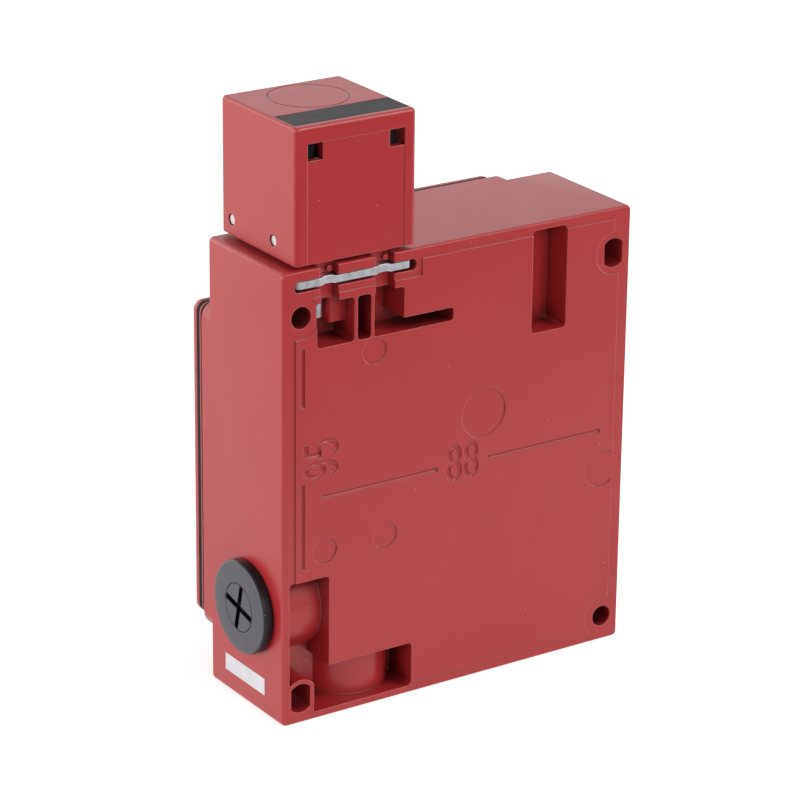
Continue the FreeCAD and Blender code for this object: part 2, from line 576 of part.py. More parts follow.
def head_core():
    """Insert pinned into the head's foot: the neck that turns in the case, and the cam's cheeks."""
    inner = HALF_HEAD - HEAD_WALL
    top = HEAD_BOTTOM + CORE_PLATE
    plate = head_box(inner, HEAD_Y - inner, HEAD_Y + inner, HEAD_BOTTOM + 0.5, top)
    neck = rod("Z", NECK_R, HEAD_X, HEAD_Y, NECK_BOTTOM, top - NECK_BOTTOM)
    body = [plate, neck]
    for side in (-1, 1):
        a, b = HEAD_X + side * CHEEK_IN, HEAD_X + side * CHEEK_OUT
        body.append(box(a, b, HEAD_Y - CHEEK_R, HEAD_Y + CHEEK_R, top, CAM_Z))
        body.append(rod("X", CHEEK_R, min(a, b), HEAD_Y, CAM_Z, CHEEK_OUT - CHEEK_IN))
    body = fuse(body)
    seal_groove = 2 * NECK_SEAL_R + 0.2
    cuts = [
        ring("Z", NECK_R + 1, GROOVE_R, HEAD_X, HEAD_Y, CLIP_Z - GAP, CLIP_THICK + 2 * GAP),
        ring("Z", NECK_R + 1, NECK_R - 2 * NECK_SEAL_R, HEAD_X, HEAD_Y,
             NECK_SEAL_Z - seal_groove / 2, seal_groove),
        rod("Z", ROD_R + GAP, HEAD_X, HEAD_Y, NECK_BOTTOM - 1, PAST),
        rod("Z", CHEEK_R, HEAD_X, HEAD_Y, NECK_BOTTOM - 1, 2.9),
        rod("X", AXLE_R, HEAD_X - PAST, HEAD_Y, CAM_Z, 2 * PAST),
    ]
    return body.cut(cuts + pin_bores(HEAD_PIN_R, HEAD_SIDE)).removeSplitter()


def head_pins():
    return Part.makeCompound(pin_bores(HEAD_PIN_R, HALF_HEAD - 0.3))


def seal_ring(x, y, z, r_out, section):
    """Sealing ring about Z, its round section drawn with eight flats."""
    points = []
    for k in range(8):
        t = math.radians(22.5 + 45 * k)
        points.append(Vec(r_out - section + section * math.cos(t), 0, section * math.sin(t)))
    face = Part.Face(Part.makePolygon(points + points[:1]))
    seal = face.revolve(Vec(0, 0, 0), AXES["Z"], 360)
    seal.translate(Vec(x, y, z))
    return Part.Solid(seal) if seal.ShapeType != "Solid" else seal


def neck_seal():
    return seal_ring(HEAD_X, HEAD_Y, NECK_SEAL_Z, NECK_R, NECK_SEAL_R)


def cam_axle():
    return rod("X", AXLE_R, HEAD_X - CHEEK_OUT, HEAD_Y, CAM_Z, 2 * CHEEK_OUT)


def cam_radius(angle):
    """Cam radius at an angle in degrees from straight down towards the back of the head."""
    if angle <= CAM_SWEEP:
        return CAM_R - TRAVEL * angle / CAM_SWEEP
    if angle < 85:
        return CAM_LOW_R
    if 112 < angle < 148 or 200 < angle < 236:
        return CAM_NOTCH_R
    return CAM_R


def head_cam():
    """Disc with two tongue notches, and a falling spiral that lets the plunger rise."""
    def at(angle, radius):
        t = math.radians(angle)
        return Vec(HEAD_X - CAM_HALF, HEAD_Y + radius * math.sin(t), CAM_Z - radius * math.cos(t))

    spiral = Part.BSplineCurve()
    spiral.interpolate([at(a, cam_radius(a)) for a in range(0, int(CAM_SWEEP) + 1, 6)])
    edges = [spiral.toShape()]
    stretches = [(CAM_SWEEP, 85, CAM_LOW_R), (85, 112, CAM_R), (112, 148, CAM_NOTCH_R),
                 (148, 200, CAM_R), (200, 236, CAM_NOTCH_R), (236, 360, CAM_R)]
    last = at(CAM_SWEEP, CAM_LOW_R)
    for start, end, radius in stretches:
        first = at(start, radius)
        if first.distanceToPoint(last) > 0.001:
            edges.append(Part.makeLine(last, first))
        last = at(end, radius)
        edges.append(Part.Arc(first, at((start + end) / 2, radius), last).toShape())
    disc = Part.Face(Part.Wire(edges)).extrude(Vec(2 * CAM_HALF, 0, 0))
    return disc.cut(rod("X", AXLE_R + RUN, HEAD_X - PAST, HEAD_Y, CAM_Z, 2 * PAST))


def head_slot_plug():
    """Blanking plug of the top slot: a lid, a skirt, and two legs that end behind the windows."""
    c, d = SLOT_OFFSET - RECESS_WIDTH / 2, SLOT_OFFSET + RECESS_WIDTH / 2
    a, b = SLOT_OFFSET - SLOT_WIDTH / 2, SLOT_OFFSET + SLOT_WIDTH / 2
    fit = PLUG_FIT
    top = HEAD_TOP - fit
    floor = HEAD_TOP - RECESS_DEPTH
    lid = head_box(RECESS_LENGTH / 2 - fit, HEAD_BACK - d + fit, HEAD_BACK - c - fit, floor, top)
    skirt = head_box(SLOT_LENGTH / 2 - GAP, HEAD_BACK - b + GAP, HEAD_BACK - a - GAP,
                     HEAD_TOP - 4.0, HEAD_TOP - RECESS_DEPTH)
    pocket = head_box(SLOT_LENGTH / 2 - 1.5, HEAD_BACK - b + 1.5, HEAD_BACK - a - 1.5,
                      HEAD_TOP - 5.0, HEAD_TOP - 1.8)
    parts = [lid, skirt.cut(pocket)]
    for side in (-1, 1):
        x = HEAD_X + side * WINDOW_SPREAD / 2
        back = HEAD_BACK - a - GAP
        parts.append(box(x - 1.7, x + 1.7, back - 1.0, back, HEAD_TOP - WINDOW_DROP - 3.4, HEAD_TOP - 2.0))
    return fuse(parts)


def clip_plate():
    """Flat fork whose two prongs lie in the neck's groove."""
    top = CLIP_Z + CLIP_THICK
    body = soft_box(HEAD_X - CLIP_HALF, HEAD_X + CLIP_HALF, CLIP_BACK, CLIP_TIP, CLIP_Z, top, 1.5, "Z")
    gap = GROOVE_R + GAP
    return body.cut([
        head_box(gap, HEAD_Y, -PAST, CLIP_Z - 1, top + 1),
        rod("Z", gap, HEAD_X, HEAD_Y, CLIP_Z - 1, CLIP_THICK + 2),
    ])


def head_clip():
    """The fork, with its back edge joggled up a little in each channel where a blade lifts it out."""
    top = CLIP_Z + CLIP_THICK
    raised, pressed = [], []
    end = CLIP_BACK - JOGGLE_DEEP
    for x0, x1 in channel_ranges():
        flanks = [(x0 + 0.6, 0), (x1 - 0.8, 0), (x1 - 1.6, JOGGLE), (x0 + 1.6, JOGGLE)]
        raised.append(prism([(x, top + dz) for x, dz in flanks], CLIP_BACK, end))
        pressed.append(prism([(x, CLIP_Z + dz) for x, dz in flanks], CLIP_BACK + 1, end))
    return fuse([clip_plate()] + raised).cut(pressed)


# ================================================================ plunger, lock and solenoid
def plunger():
    tip = CAM_Z - CAM_R - TIP_GAP
    body = [
        Part.makeSphere(TIP_R, Vec(HEAD_X, HEAD_Y, tip - TIP_R)),
        rod("Z", TIP_R, HEAD_X, HEAD_Y, tip - TIP_R, -1.5),
        rod("Z", ROD_R, HEAD_X, HEAD_Y, tip - TIP_R - 1.5, CARRIER_TOP - (tip - TIP_R - 1.5)),
    ]
    half = LAND_HALF
    stops = [(BOLT_Z + half, BOLT_Z + 3 * half),
             (BOLT_Z - TRAVEL + half, BOLT_Z - half),
             (CARRIER_TOP, BOLT_Z - TRAVEL - half)]
    body += [rod("Z", LAND_R, HEAD_X, HEAD_Y, z0, z1 - z0) for z0, z1 in stops]
    return fuse(body)


def plunger_seal():
    return ring("Z", 5.4, ROD_R + RUN, HEAD_X, HEAD_Y, BORE_FLOOR, 1.9)


def lock_bolt():
    tip = HEAD_X - LAND_R - 0.4
    start = LEVER_X + 5.0
    y0, y1 = HEAD_Y - FORK_HALF, HEAD_Y + FORK_HALF
    nose = rod("X", BOLT_R, start, HEAD_Y, BOLT_Z, tip - start)
    flats = box(start, tip, -PAST, 0, BOLT_Z - 1.2, BOLT_Z + 1.2)
    nose = nose.common(flats.fuse(box(start, HEAD_X - 8.2, -PAST, 0, BOLT_Z - PAST, BOLT_Z + PAST)))
    head = box(LEVER_X - 4, LEVER_X + 5.4, y0, y1, BOLT_Z - 3.2, BOLT_Z + 3.2)
    slot = box(LEVER_X - 5, LEVER_X + 4, HEAD_Y - FORK_SLOT, HEAD_Y + FORK_SLOT, BOLT_Z - 5, BOLT_Z + 5)
    return fuse([nose, head.cut(slot), rod("Y", CROSS_PIN_R, LEVER_X, y0, BOLT_Z, 2 * FORK_HALF)])


def lock_lever():
    """Bell crank with an open fork on each arm."""
    t = LEVER_THICK / 2
    y0, y1 = HEAD_Y - t, HEAD_Y + t
    end = 2.8
    fork = CROSS_PIN_R + GAP
    arms = [
        rod("Y", 4.2, LEVER_X, y0, LEVER_Z, LEVER_THICK),
        box(ARMATURE_X - 2.2, LEVER_X, y0, y1, LEVER_Z - 2.4, LEVER_Z + 2.4),
        box(LEVER_X - end, LEVER_X + end, y0, y1, BOLT_Z - 2.2, LEVER_Z),
    ]
    cuts = [
        rod("Y", AXLE_R + RUN, LEVER_X, y0 - 1, LEVER_Z, LEVER_THICK + 2),
        box(LEVER_X - fork, LEVER_X + fork, y0 - 1, y1 + 1, BOLT_Z - 5, BOLT_Z + 2.0),
        box(ARMATURE_X - 5, ARMATURE_X + 2.4, y0 - 1, y1 + 1, LEVER_Z - fork, LEVER_Z + fork),
    ]
    return fuse(arms).cut(cuts)


def lever_pivot():
    return rod("Y", AXLE_R, LEVER_X, -1.6, LEVER_Z, HEAD_Y - 4.6 + 1.6)


def lever_circlip():
    y = HEAD_Y - LEVER_THICK / 2 - GAP
    return ring("Y", 3.6, AXLE_R, LEVER_X, y, LEVER_Z, -0.8).cut(
        box(LEVER_X - 1.2, LEVER_X + 1.2, y + 1, y - 2, LEVER_Z - PAST, LEVER_Z))


def armature():
    x, y = ARMATURE_X, HEAD_Y
    foot = LEVER_Z - 5.0
    stem = SPRING_TOP + 2.0
    clevis = box(x - 4, x + 4, y - FORK_HALF, y + FORK_HALF, foot, LEVER_Z + 4.0)
    slot = box(x - 5, x + 5, y - FORK_SLOT, y + FORK_SLOT, foot + 1.4, LEVER_Z + 5.0)
    core_top = YOKE_BOTTOM + YOKE_SHEET + CORE_LENGTH + ARMATURE_TRAVEL
    return fuse([
        rod("Z", CORE_R - RUN, x, y, core_top + 0.47, SPRING_TOP - core_top - 0.47),
        rod("Z", 7.0, x, y, SPRING_TOP, stem - SPRING_TOP),
        rod("Z", ROD_R, x, y, stem, foot + 2 - stem),
        clevis.cut(slot),
        rod("Y", CROSS_PIN_R, x, y - FORK_HALF, LEVER_Z, 2 * FORK_HALF),
    ])


def armature_spring():
    return spring(ARMATURE_X, HEAD_Y, YOKE_TOP, SPRING_TOP, 5.6, 0.4, 4)


def solenoid_frame():
    x, y = ARMATURE_X, HEAD_Y
    web = box(x - TAB_HALF, x + TAB_HALF, -BACK_WALL, -BACK_WALL - YOKE_SHEET, YOKE_BOTTOM, YOKE_TOP)
    reach = -BACK_WALL - YOKE_REACH
    plates = [box(x - YOKE_HALF, x + YOKE_HALF, -BACK_WALL, reach, z, z + YOKE_SHEET)
              for z in (YOKE_BOTTOM, YOKE_TOP - YOKE_SHEET)]
    cuts = [rod("Z", CORE_R + 1.0, x, y, YOKE_TOP - 5, 10)]
    cuts += [rod("Y", TAB_SCREW_R + SCREW_FIT, sx, 0, sz, -10) for sx, sz in base_screw_places()[:4]]
    return fuse([web] + plates).cut(cuts)


def solenoid_core():
    return rod("Z", CORE_R, ARMATURE_X, HEAD_Y, YOKE_BOTTOM + YOKE_SHEET, CORE_LENGTH)


def solenoid_bobbin():
    x, y = ARMATURE_X, HEAD_Y
    z0, z1 = YOKE_BOTTOM + YOKE_SHEET, YOKE_TOP - YOKE_SHEET
    tube = rod("Z", CORE_R + BOBBIN_WALL, x, y, z0, z1 - z0)
    ends = [rod("Z", COIL_R + 0.6, x, y, z, BOBBIN_FLANGE) for z in (z0, z1 - BOBBIN_FLANGE)]
    return fuse([tube] + ends).cut(rod("Z", CORE_R, x, y, z0 - 1, z1 - z0 + 2))


def solenoid_coil():
    z0 = YOKE_BOTTOM + YOKE_SHEET + BOBBIN_FLANGE
    z1 = YOKE_TOP - YOKE_SHEET - BOBBIN_FLANGE
    return ring("Z", COIL_R, CORE_R + BOBBIN_WALL, ARMATURE_X, HEAD_Y, z0, z1 - z0)


def base_screw(x, z, seat):
    """Pan-head screw along Y with its head on the given seat."""
    shank = rod("Y", TAB_SCREW_R, x, seat, z, -1.6 - seat)
    head = rod("Y", TAB_SCREW_R + 1.3, x, seat, z, -1.8)
    slot = box(x - 0.35, x + 0.35, seat - 0.9, seat - 3, z - 4, z + 4)
    return shank.fuse(head).cut(slot)


def solenoid_screws():
    seat = -BACK_WALL - YOKE_SHEET
    return Part.makeCompound([base_screw(x, z, seat) for x, z in base_screw_places()[:4]])


# ================================================================ contact block
def strip_heights():
    """Underside of each pole's fixed strips: the raised bridge's rivets stop just below it."""
    return [z + BRIDGE_THICK + RIVET_HEIGHT + TRAVEL + GAP for z in POLE_Z]


def fixed_strips():
    """Fixed contact strips, each running forward to its terminal plate."""
    strips = []
    for low in strip_heights():
        for side in (-1, 1):
            def at(a, b, y0, y1, z0=low, z1=low + 1.0):
                return box(HEAD_X + side * a, HEAD_X + side * b, y0, y1, z0, z1)
            strips.append(fuse([
                at(5.4, BLOCK_HALF - 1.0, HEAD_Y - STRIP_HALF, HEAD_Y + STRIP_HALF),
                at(WELL_HALF + 0.2, BLOCK_HALF - 1.0, BLOCK_FRONT, HEAD_Y + STRIP_HALF),
                at(STUD_OUT - 2.8, STUD_OUT + 2.8, BLOCK_FRONT, BLOCK_FRONT - 1.0, low - 2.5, low + 3.5),
            ]))
    return strips


def terminal_places():
    return [(HEAD_X + side * STUD_OUT, z + 0.5) for z in strip_heights() for side in (-1, 1)]


def terminal_bores():
    return [rod("Y", STUD_R, x, BLOCK_FRONT + 7, z, -PAST) for x, z in terminal_places()]


def contact_block():
    body = box(HEAD_X - BLOCK_HALF, HEAD_X + BLOCK_HALF, -BACK_WALL, BLOCK_FRONT, BLOCK_BOTTOM, BLOCK_TOP)
    well = box(HEAD_X - WELL_HALF, HEAD_X + WELL_HALF, HEAD_Y + WELL_DEEP, HEAD_Y - WELL_DEEP,
               WELL_FLOOR, BLOCK_TOP + 1)
    ears = [box(x, x + EAR + 1, -BACK_WALL, EAR_FRONT, z, z + EAR + 1) for x, z in ear_corners()]
    cuts = [well] + fixed_strips() + terminal_bores()
    cuts += [rod("Y", TAB_SCREW_R + SCREW_FIT, x, 0, z, -PAST) for x, z in base_screw_places()[4:]]
    return fuse([body] + ears).cut(cuts)


def fixed_contacts():
    return Part.makeCompound([strip.cut(terminal_bores()) for strip in fixed_strips()])


def terminal_screws():
    made = []
    seat = BLOCK_FRONT - 1.0
    top = seat - 1.9
    for x, z in terminal_places():
        shank = rod("Y", STUD_R, x, seat, z, 7.0)
        head = rod("Y", 2.7, x, seat, z, top - seat)
        made.append(shank.fuse(head).cut(cross_recess(x, z, top, 1.9, 0.7, 1.1)))
    return Part.makeCompound(made)


def contact_block_screws():
    return Part.makeCompound([base_screw(x, z, EAR_FRONT) for x, z in base_screw_places()[4:]])


def bridges():
    made = []
    y0, y1 = HEAD_Y - STRIP_HALF, HEAD_Y + STRIP_HALF
    for z in POLE_Z:
        top = z + BRIDGE_THICK
        strip = box(HEAD_X - BRIDGE_HALF, HEAD_X + BRIDGE_HALF, y0, y1, z, top)
        rivets = [rod("Z", RIVET_R, HEAD_X + side * 7.0, HEAD_Y, top, RIVET_HEIGHT) for side in (-1, 1)]
        made.append(fuse([strip] + rivets))
    return made


def contact_bridges():
    return Part.makeCompound(bridges())


def contact_carrier():
    c = CARRIER_HALF
    stem = soft_box(HEAD_X - c, HEAD_X + c, HEAD_Y - c, HEAD_Y + c, CARRIER_BOTTOM, CARRIER_TOP, 0.6, "Z")
    return stem.cut(bridges())


def plunger_spring():
    return spring(HEAD_X, HEAD_Y, WELL_FLOOR, CARRIER_BOTTOM, 2.2, 0.3, 2)


# ================================================================ release lock, lamps, earth
def release_lock_body():
    flange = rod("Y", LOCK_R, LOCK_X, -COVER_DEPTH, LOCK_Z, COVER_DEPTH - LOCK_END)
    return flange.cut(rod("Y", BARREL_R + RUN, LOCK_X, -PAST, LOCK_Z, PAST))


def release_barrel():
    body = rod("Y", BARREL_R, LOCK_X, -COVER_DEPTH, LOCK_Z, COVER_DEPTH - LOCK_END)
    end = -COVER_DEPTH + 6
    keyway = [box(LOCK_X - 0.6, LOCK_X + 0.6, end, -PAST, LOCK_Z - 3.6, LOCK_Z + 3.6),
              box(LOCK_X - 1.4, LOCK_X + 0.6, end, -PAST, LOCK_Z - 1.6, LOCK_Z - 0.4)]
    return body.cut(keyway)


def release_cam():
    y0, y1 = RELEASE_Y, RELEASE_Y + LEVER_THICK
    reach = LOCK_X - CAM_ARM + CAM_LOBE_R
    return fuse([
        rod("Y", 2.4, LOCK_X, -LOCK_END, LOCK_Z, LOCK_END + y1),
        rod("Y", 3.4, LOCK_X, y0, LOCK_Z, LEVER_THICK),
        box(reach, LOCK_X, y0, y1, LOCK_Z - CAM_LOBE_R, LOCK_Z + CAM_LOBE_R),
        rod("Y", CAM_LOBE_R, reach, y0, LOCK_Z, LEVER_THICK),
    ])


def indicator_lens(x):
    proud = -COVER_DEPTH - LENS_PROUD
    stem = rod("Y", LENS_R, x, proud, LENS_Z, -SPIGOT_DEPTH + 2.1 - proud)
    front = [e for e in stem.Edges if e.BoundBox.YMax < -COVER_DEPTH and isinstance(e.Curve, Part.Circle)]
    stem = stem.makeFillet(0.6, front)
    flange = rod("Y", LENS_R + 1.0, x, -GASKET_DEPTH, LENS_Z, 1.2)
    return stem.fuse(flange).removeSplitter()


def indicator_lens_amber():
    return indicator_lens(LENS_X["indicator_lens_amber"])


def indicator_lens_green():
    return indicator_lens(LENS_X["indicator_lens_green"])


def indicator_board():
    x0, x1, z0, z1 = BOARD
    board = box(x0, x1, BOARD_BACK, BOARD_BACK - BOARD_THICK, z0, z1)
    return board.cut([rod("Y", 1.0 + SCREW_FIT, x, 0, z, -PAST) for x, z in BOARD_POSTS])


def indicator_board_screws():
    seat = BOARD_BACK - BOARD_THICK
    made = [rod("Y", 1.0, x, seat, z, 6.4).fuse(rod("Y", 2.0, x, seat, z, -1.2)) for x, z in BOARD_POSTS]
    return Part.makeCompound(made)


def indicator_leds():
    seat = BOARD_BACK - BOARD_THICK
    made = []
    for x in LENS_X.values():
        base = rod("Y", 1.5, x, seat, LENS_Z, -1.0)
        cap = Part.makeCone(1.5, 0.8, 1.2, Vec(x, seat - 1.0, LENS_Z), Vec(0, -1, 0))
        made.append(fuse([base, cap]))
    return Part.makeCompound(made)


def earth_clamp():
    half = 4.5
    plate = soft_box(EARTH_X - half, EARTH_X + half, EARTH_SEAT, EARTH_SEAT - 1.0,
                     EARTH_Z - half, EARTH_Z + half, 0.8, "Y")
    return plate.cut(rod("Y", 1.9, EARTH_X, 0, EARTH_Z, -PAST))


def earth_screw():
    seat = EARTH_SEAT - 1.0
    screw = rod("Y", 1.7, EARTH_X, seat, EARTH_Z, 7.2).fuse(rod("Y", 3.4, EARTH_X, seat, EARTH_Z, -2.4))
    slot = box(EARTH_X - 0.5, EARTH_X + 0.5, seat - 1.2, seat - 4, EARTH_Z - 4, EARTH_Z + 4)
    return screw.cut(slot)


def guide_pin():
    return rod("Z", GUIDE_PIN_R, GUIDE_PIN_X, GUIDE_PIN_Y, GUIDE_PIN_FOOT, GUIDE_PIN_LENGTH)


NODES = {
    "housing": housing,
    "front_cover": front_cover,
    "cover_gasket": cover_gasket,
    "cover_screws": cover_screws,
    "rating_label": rating_label,
    "date_label": date_label,
    "entry_plug": entry_plug,
    "entry_plug_seal": entry_plug_seal,
    "turret_head": turret_head,
    "head_core": head_core,
    "head_pins": head_pins,
    "neck_seal": neck_seal,
    "cam_axle": cam_axle,
    "head_cam": head_cam,
    "head_slot_plug": head_slot_plug,
    "head_clip": head_clip,
    "guide_pin": guide_pin,
    "plunger": plunger,
    "plunger_seal": plunger_seal,
    "lock_bolt": lock_bolt,
    "lock_lever": lock_lever,
    "lever_pivot": lever_pivot,
    "lever_circlip": lever_circlip,
    "armature": armature,
    "armature_spring": armature_spring,
    "solenoid_frame": solenoid_frame,
    "solenoid_core": solenoid_core,
    "solenoid_bobbin": solenoid_bobbin,
    "solenoid_coil": solenoid_coil,
    "solenoid_screws": solenoid_screws,
    "contact_block": contact_block,
    "fixed_contacts": fixed_contacts,
    "terminal_screws": terminal_screws,
    "contact_block_screws": contact_block_screws,
    "contact_bridges": contact_bridges,
    "contact_carrier": contact_carrier,
    "plunger_spring": plunger_spring,
    "release_lock_body": release_lock_body,
    "release_barrel": release_barrel,
    "release_cam": release_cam,
    "indicator_lens_amber": indicator_lens_amber,
    "indicator_lens_green": indicator_lens_green,
    "indicator_board": indicator_board,
    "indicator_board_screws": indicator_board_screws,
    "indicator_leds": indicator_leds,
    "earth_clamp": earth_clamp,
    "earth_screw": earth_screw,
}

os.makedirs("parts", exist_ok=True)
for name, make in NODES.items():
    shape = make()
    solids = shape.Solids
    if not shape.isValid() or not solids:
        print("PROBLEM", name, "valid", shape.isValid(), "solids", len(solids))
    shape.exportStep(f"parts/{name}.step")
    print(f"{name}: {len(solids)} solid(s), {shape.Volume:.1f} mm3")
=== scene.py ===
import json
import math
import bmesh
import bpy
import numpy as np
from mathutils import Matrix, Vector


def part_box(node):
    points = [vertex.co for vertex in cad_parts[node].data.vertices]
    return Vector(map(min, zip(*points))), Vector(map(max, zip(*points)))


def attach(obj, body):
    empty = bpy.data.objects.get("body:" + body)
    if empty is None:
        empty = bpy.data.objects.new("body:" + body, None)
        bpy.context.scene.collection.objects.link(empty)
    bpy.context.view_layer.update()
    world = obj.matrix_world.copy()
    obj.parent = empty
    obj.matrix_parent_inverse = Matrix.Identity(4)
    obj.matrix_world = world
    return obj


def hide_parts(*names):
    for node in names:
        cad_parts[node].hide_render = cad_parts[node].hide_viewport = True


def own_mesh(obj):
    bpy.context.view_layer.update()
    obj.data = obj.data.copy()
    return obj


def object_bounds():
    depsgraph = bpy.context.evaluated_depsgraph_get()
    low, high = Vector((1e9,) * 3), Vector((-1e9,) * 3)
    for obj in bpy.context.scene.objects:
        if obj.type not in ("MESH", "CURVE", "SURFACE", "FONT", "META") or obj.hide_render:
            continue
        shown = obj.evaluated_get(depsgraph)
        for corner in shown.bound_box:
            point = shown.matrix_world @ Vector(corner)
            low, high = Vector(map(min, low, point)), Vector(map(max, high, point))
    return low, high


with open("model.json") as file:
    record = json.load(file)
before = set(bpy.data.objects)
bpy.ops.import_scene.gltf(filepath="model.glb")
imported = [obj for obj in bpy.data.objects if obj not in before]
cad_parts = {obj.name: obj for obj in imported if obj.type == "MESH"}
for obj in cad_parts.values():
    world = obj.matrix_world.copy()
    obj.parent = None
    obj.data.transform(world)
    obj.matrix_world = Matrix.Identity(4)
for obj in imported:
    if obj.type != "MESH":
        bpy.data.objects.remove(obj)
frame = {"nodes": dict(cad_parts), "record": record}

mm = 0.001
roundCrease = 60  # degrees below which the ridges of a round wire or thread are shaded smooth
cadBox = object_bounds()
nodes = frame["nodes"]
print("frame loaded:", len(nodes), "nodes")


class Wire:
    # one socket of a node tree, so that masks and sums read as plain expressions
    def __init__(self, owner, socket):
        self.owner = owner
        self.socket = socket

    def calc(self, operation, first, second=None):
        values = {0: first} if second is None else {0: first, 1: second}
        return self.owner.node("ShaderNodeMath", {"operation": operation}, values)

    def __add__(self, other):
        return self.calc("ADD", self, other)

    def __radd__(self, other):
        return self.calc("ADD", other, self)

    def __sub__(self, other):
        return self.calc("SUBTRACT", self, other)

    def __rsub__(self, other):
        return self.calc("SUBTRACT", other, self)

    def __mul__(self, other):
        return self.calc("MULTIPLY", self, other)

    def __rmul__(self, other):
        return self.calc("MULTIPLY", other, self)

    def __gt__(self, other):
        return self.calc("GREATER_THAN", self, other)

    def __lt__(self, other):
        return self.calc("LESS_THAN", self, other)

    def ramp(self, low, high):
        # 0 below low, 1 above high, straight in between
        span = {"Value": self, "From Min": low, "From Max": high}
        return self.owner.node("ShaderNodeMapRange", {"clamp": True}, span)


class Tree:
    # a node tree that starts empty and is filled by one method
    def __init__(self, tree):
        self.tree = tree
        self.tree.nodes.clear()

    def feed(self, socket, value):
        if isinstance(value, Wire):
            self.tree.links.new(value.socket, socket)
        elif isinstance(value, tuple) and len(value) == 3 and socket.type == "RGBA":
            socket.default_value = (*value, 1.0)
        else:
            socket.default_value = value

    def node(self, kind, settings=None, inputs=None, output=0):
        made = self.tree.nodes.new(kind)
        for name, value in (settings or {}).items():
            setattr(made, name, value)
        for name, value in (inputs or {}).items():
            self.feed(made.inputs[name], value)
        return Wire(self, made.outputs[output])

    def ray(self, kind):
        # 1 for rays of the kind, such as Camera or Glossy
        return self.node("ShaderNodeLightPath", output=f"Is {kind} Ray")


class Paint(Tree):
    # one material with a Principled shader; constants go to its sockets by name
    def __init__(self, name, **constants):
        self.material = bpy.data.materials.new(name)
        self.material.use_nodes = True
        super().__init__(self.material.node_tree)
        self.output = self.tree.nodes.new("ShaderNodeOutputMaterial")
        self.shader = self.tree.nodes.new("ShaderNodeBsdfPrincipled")
        self.tree.links.new(self.shader.outputs[0], self.output.inputs["Surface"])
        for socket, value in constants.items():
            self.feed(self.shader.inputs[socket.replace("_", " ")], value)

    def place(self, scale=(1.0, 1.0, 1.0)):
        # the piece's own coordinates in metres, stretched per axis
        spot = self.node("ShaderNodeTexCoord", output="Object")
        return self.node("ShaderNodeMapping", {}, {"Vector": spot, "Scale": scale})

    def axis(self, letter):
        # one coordinate of the piece, in metres
        spot = self.node("ShaderNodeTexCoord", output="Object")
        return self.node("ShaderNodeSeparateXYZ", {}, {"Vector": spot}, letter)

    def noise(self, scale, detail=2.0, stretch=(1.0, 1.0, 1.0), rough=0.5):
        inputs = {"Vector": self.place(stretch), "Scale": scale, "Detail": detail, "Roughness": rough}
        return self.node("ShaderNodeTexNoise", {}, inputs)

    def cells(self, scale, output="Distance"):
        return self.node("ShaderNodeTexVoronoi", {}, {"Vector": self.place(), "Scale": scale}, output)

    def blend(self, mask, first, second):
        # first colour where the mask is 0, second where it is 1
        return self.node("ShaderNodeMix", {"data_type": "RGBA"}, {0: mask, 6: first, 7: second}, 2)

    def color(self, value):
        self.feed(self.shader.inputs["Base Color"], value)

    def rough(self, value):
        self.feed(self.shader.inputs["Roughness"], value)

    def bump(self, height, depth, strength=1.0, normal=None):
        inputs = {"Height": height, "Distance": depth, "Strength": strength}
        if normal:
            inputs["Normal"] = normal
        self.feed(self.shader.inputs["Normal"], self.node("ShaderNodeBump", {}, inputs))

    def soften(self, radius):
        # rounds hard edges in the shading alone
        return self.node("ShaderNodeBevel", {"samples": 8}, {"Radius": radius})

    def openness(self, reach):
        # 1 on open faces, falling towards 0 where the piece's own walls stand closer than reach
        settings = {"samples": 8, "only_local": True}
        return self.node("ShaderNodeAmbientOcclusion", settings, {"Distance": reach}, "AO")

    def specks(self, spacing, size, share):
        # small spots, in the given share of cells
        pitch = 1.0 / spacing
        near = self.cells(pitch) * spacing
        pick = self.node("ShaderNodeSeparateColor", {}, {"Color": self.cells(pitch, "Color")}, "Red")
        return (1.0 - near.ramp(0.5 * size, size)) * (pick < share)

    def hairlines(self, scale, width, share):
        # short thin curved lines where a slow pattern passes through its middle
        wander = self.noise(scale, 1.0)
        line = 1.0 - wander.calc("ABSOLUTE", wander - 0.5).ramp(0.3 * width, width)
        here = self.noise(scale * 1.7, 0.0).ramp(1.0 - share, 1.02 - share)
        return line * here


enamel = {
    "color": (0.405, 0.024, 0.030), "deep": (0.36, 0.016, 0.020), "thin": (0.66, 0.19, 0.18),
    "chip": (0.80, 0.58, 0.53), "shade": (0.055, 0.004, 0.005),
    "rough": 0.25, "roughSpread": 0.10,
    # painted highlight along open edges, lightening the colour: the radius of an edge, how far it leans away and how
    # open it lies
    "edge": 0.34 * mm, "thinLean": (0.01, 0.25), "thinOpen": (0.60, 0.90), "thinShare": 0.55,
    # painted shade: how far off a wall counts, and the openness at which a spot is full dark and clear
    "reach": 6.0 * mm, "pocket": (0.20, 0.72), "pocketShare": 0.92,
    "cloud": 38.0, "cloudShare": 0.35,
    "fine": (2.6 * mm, 0.19 * mm), "coarse": (11.0 * mm, 0.24 * mm),  # specks: spacing, size
    "scuff": (260.0, 0.010),  # hairlines: scale, width
    "peel": 0.010 * mm, "peelScale": 900.0, "finePeelScale": 2600.0, "grit": 0.035 * mm, "gritScale": 2300.0,
}


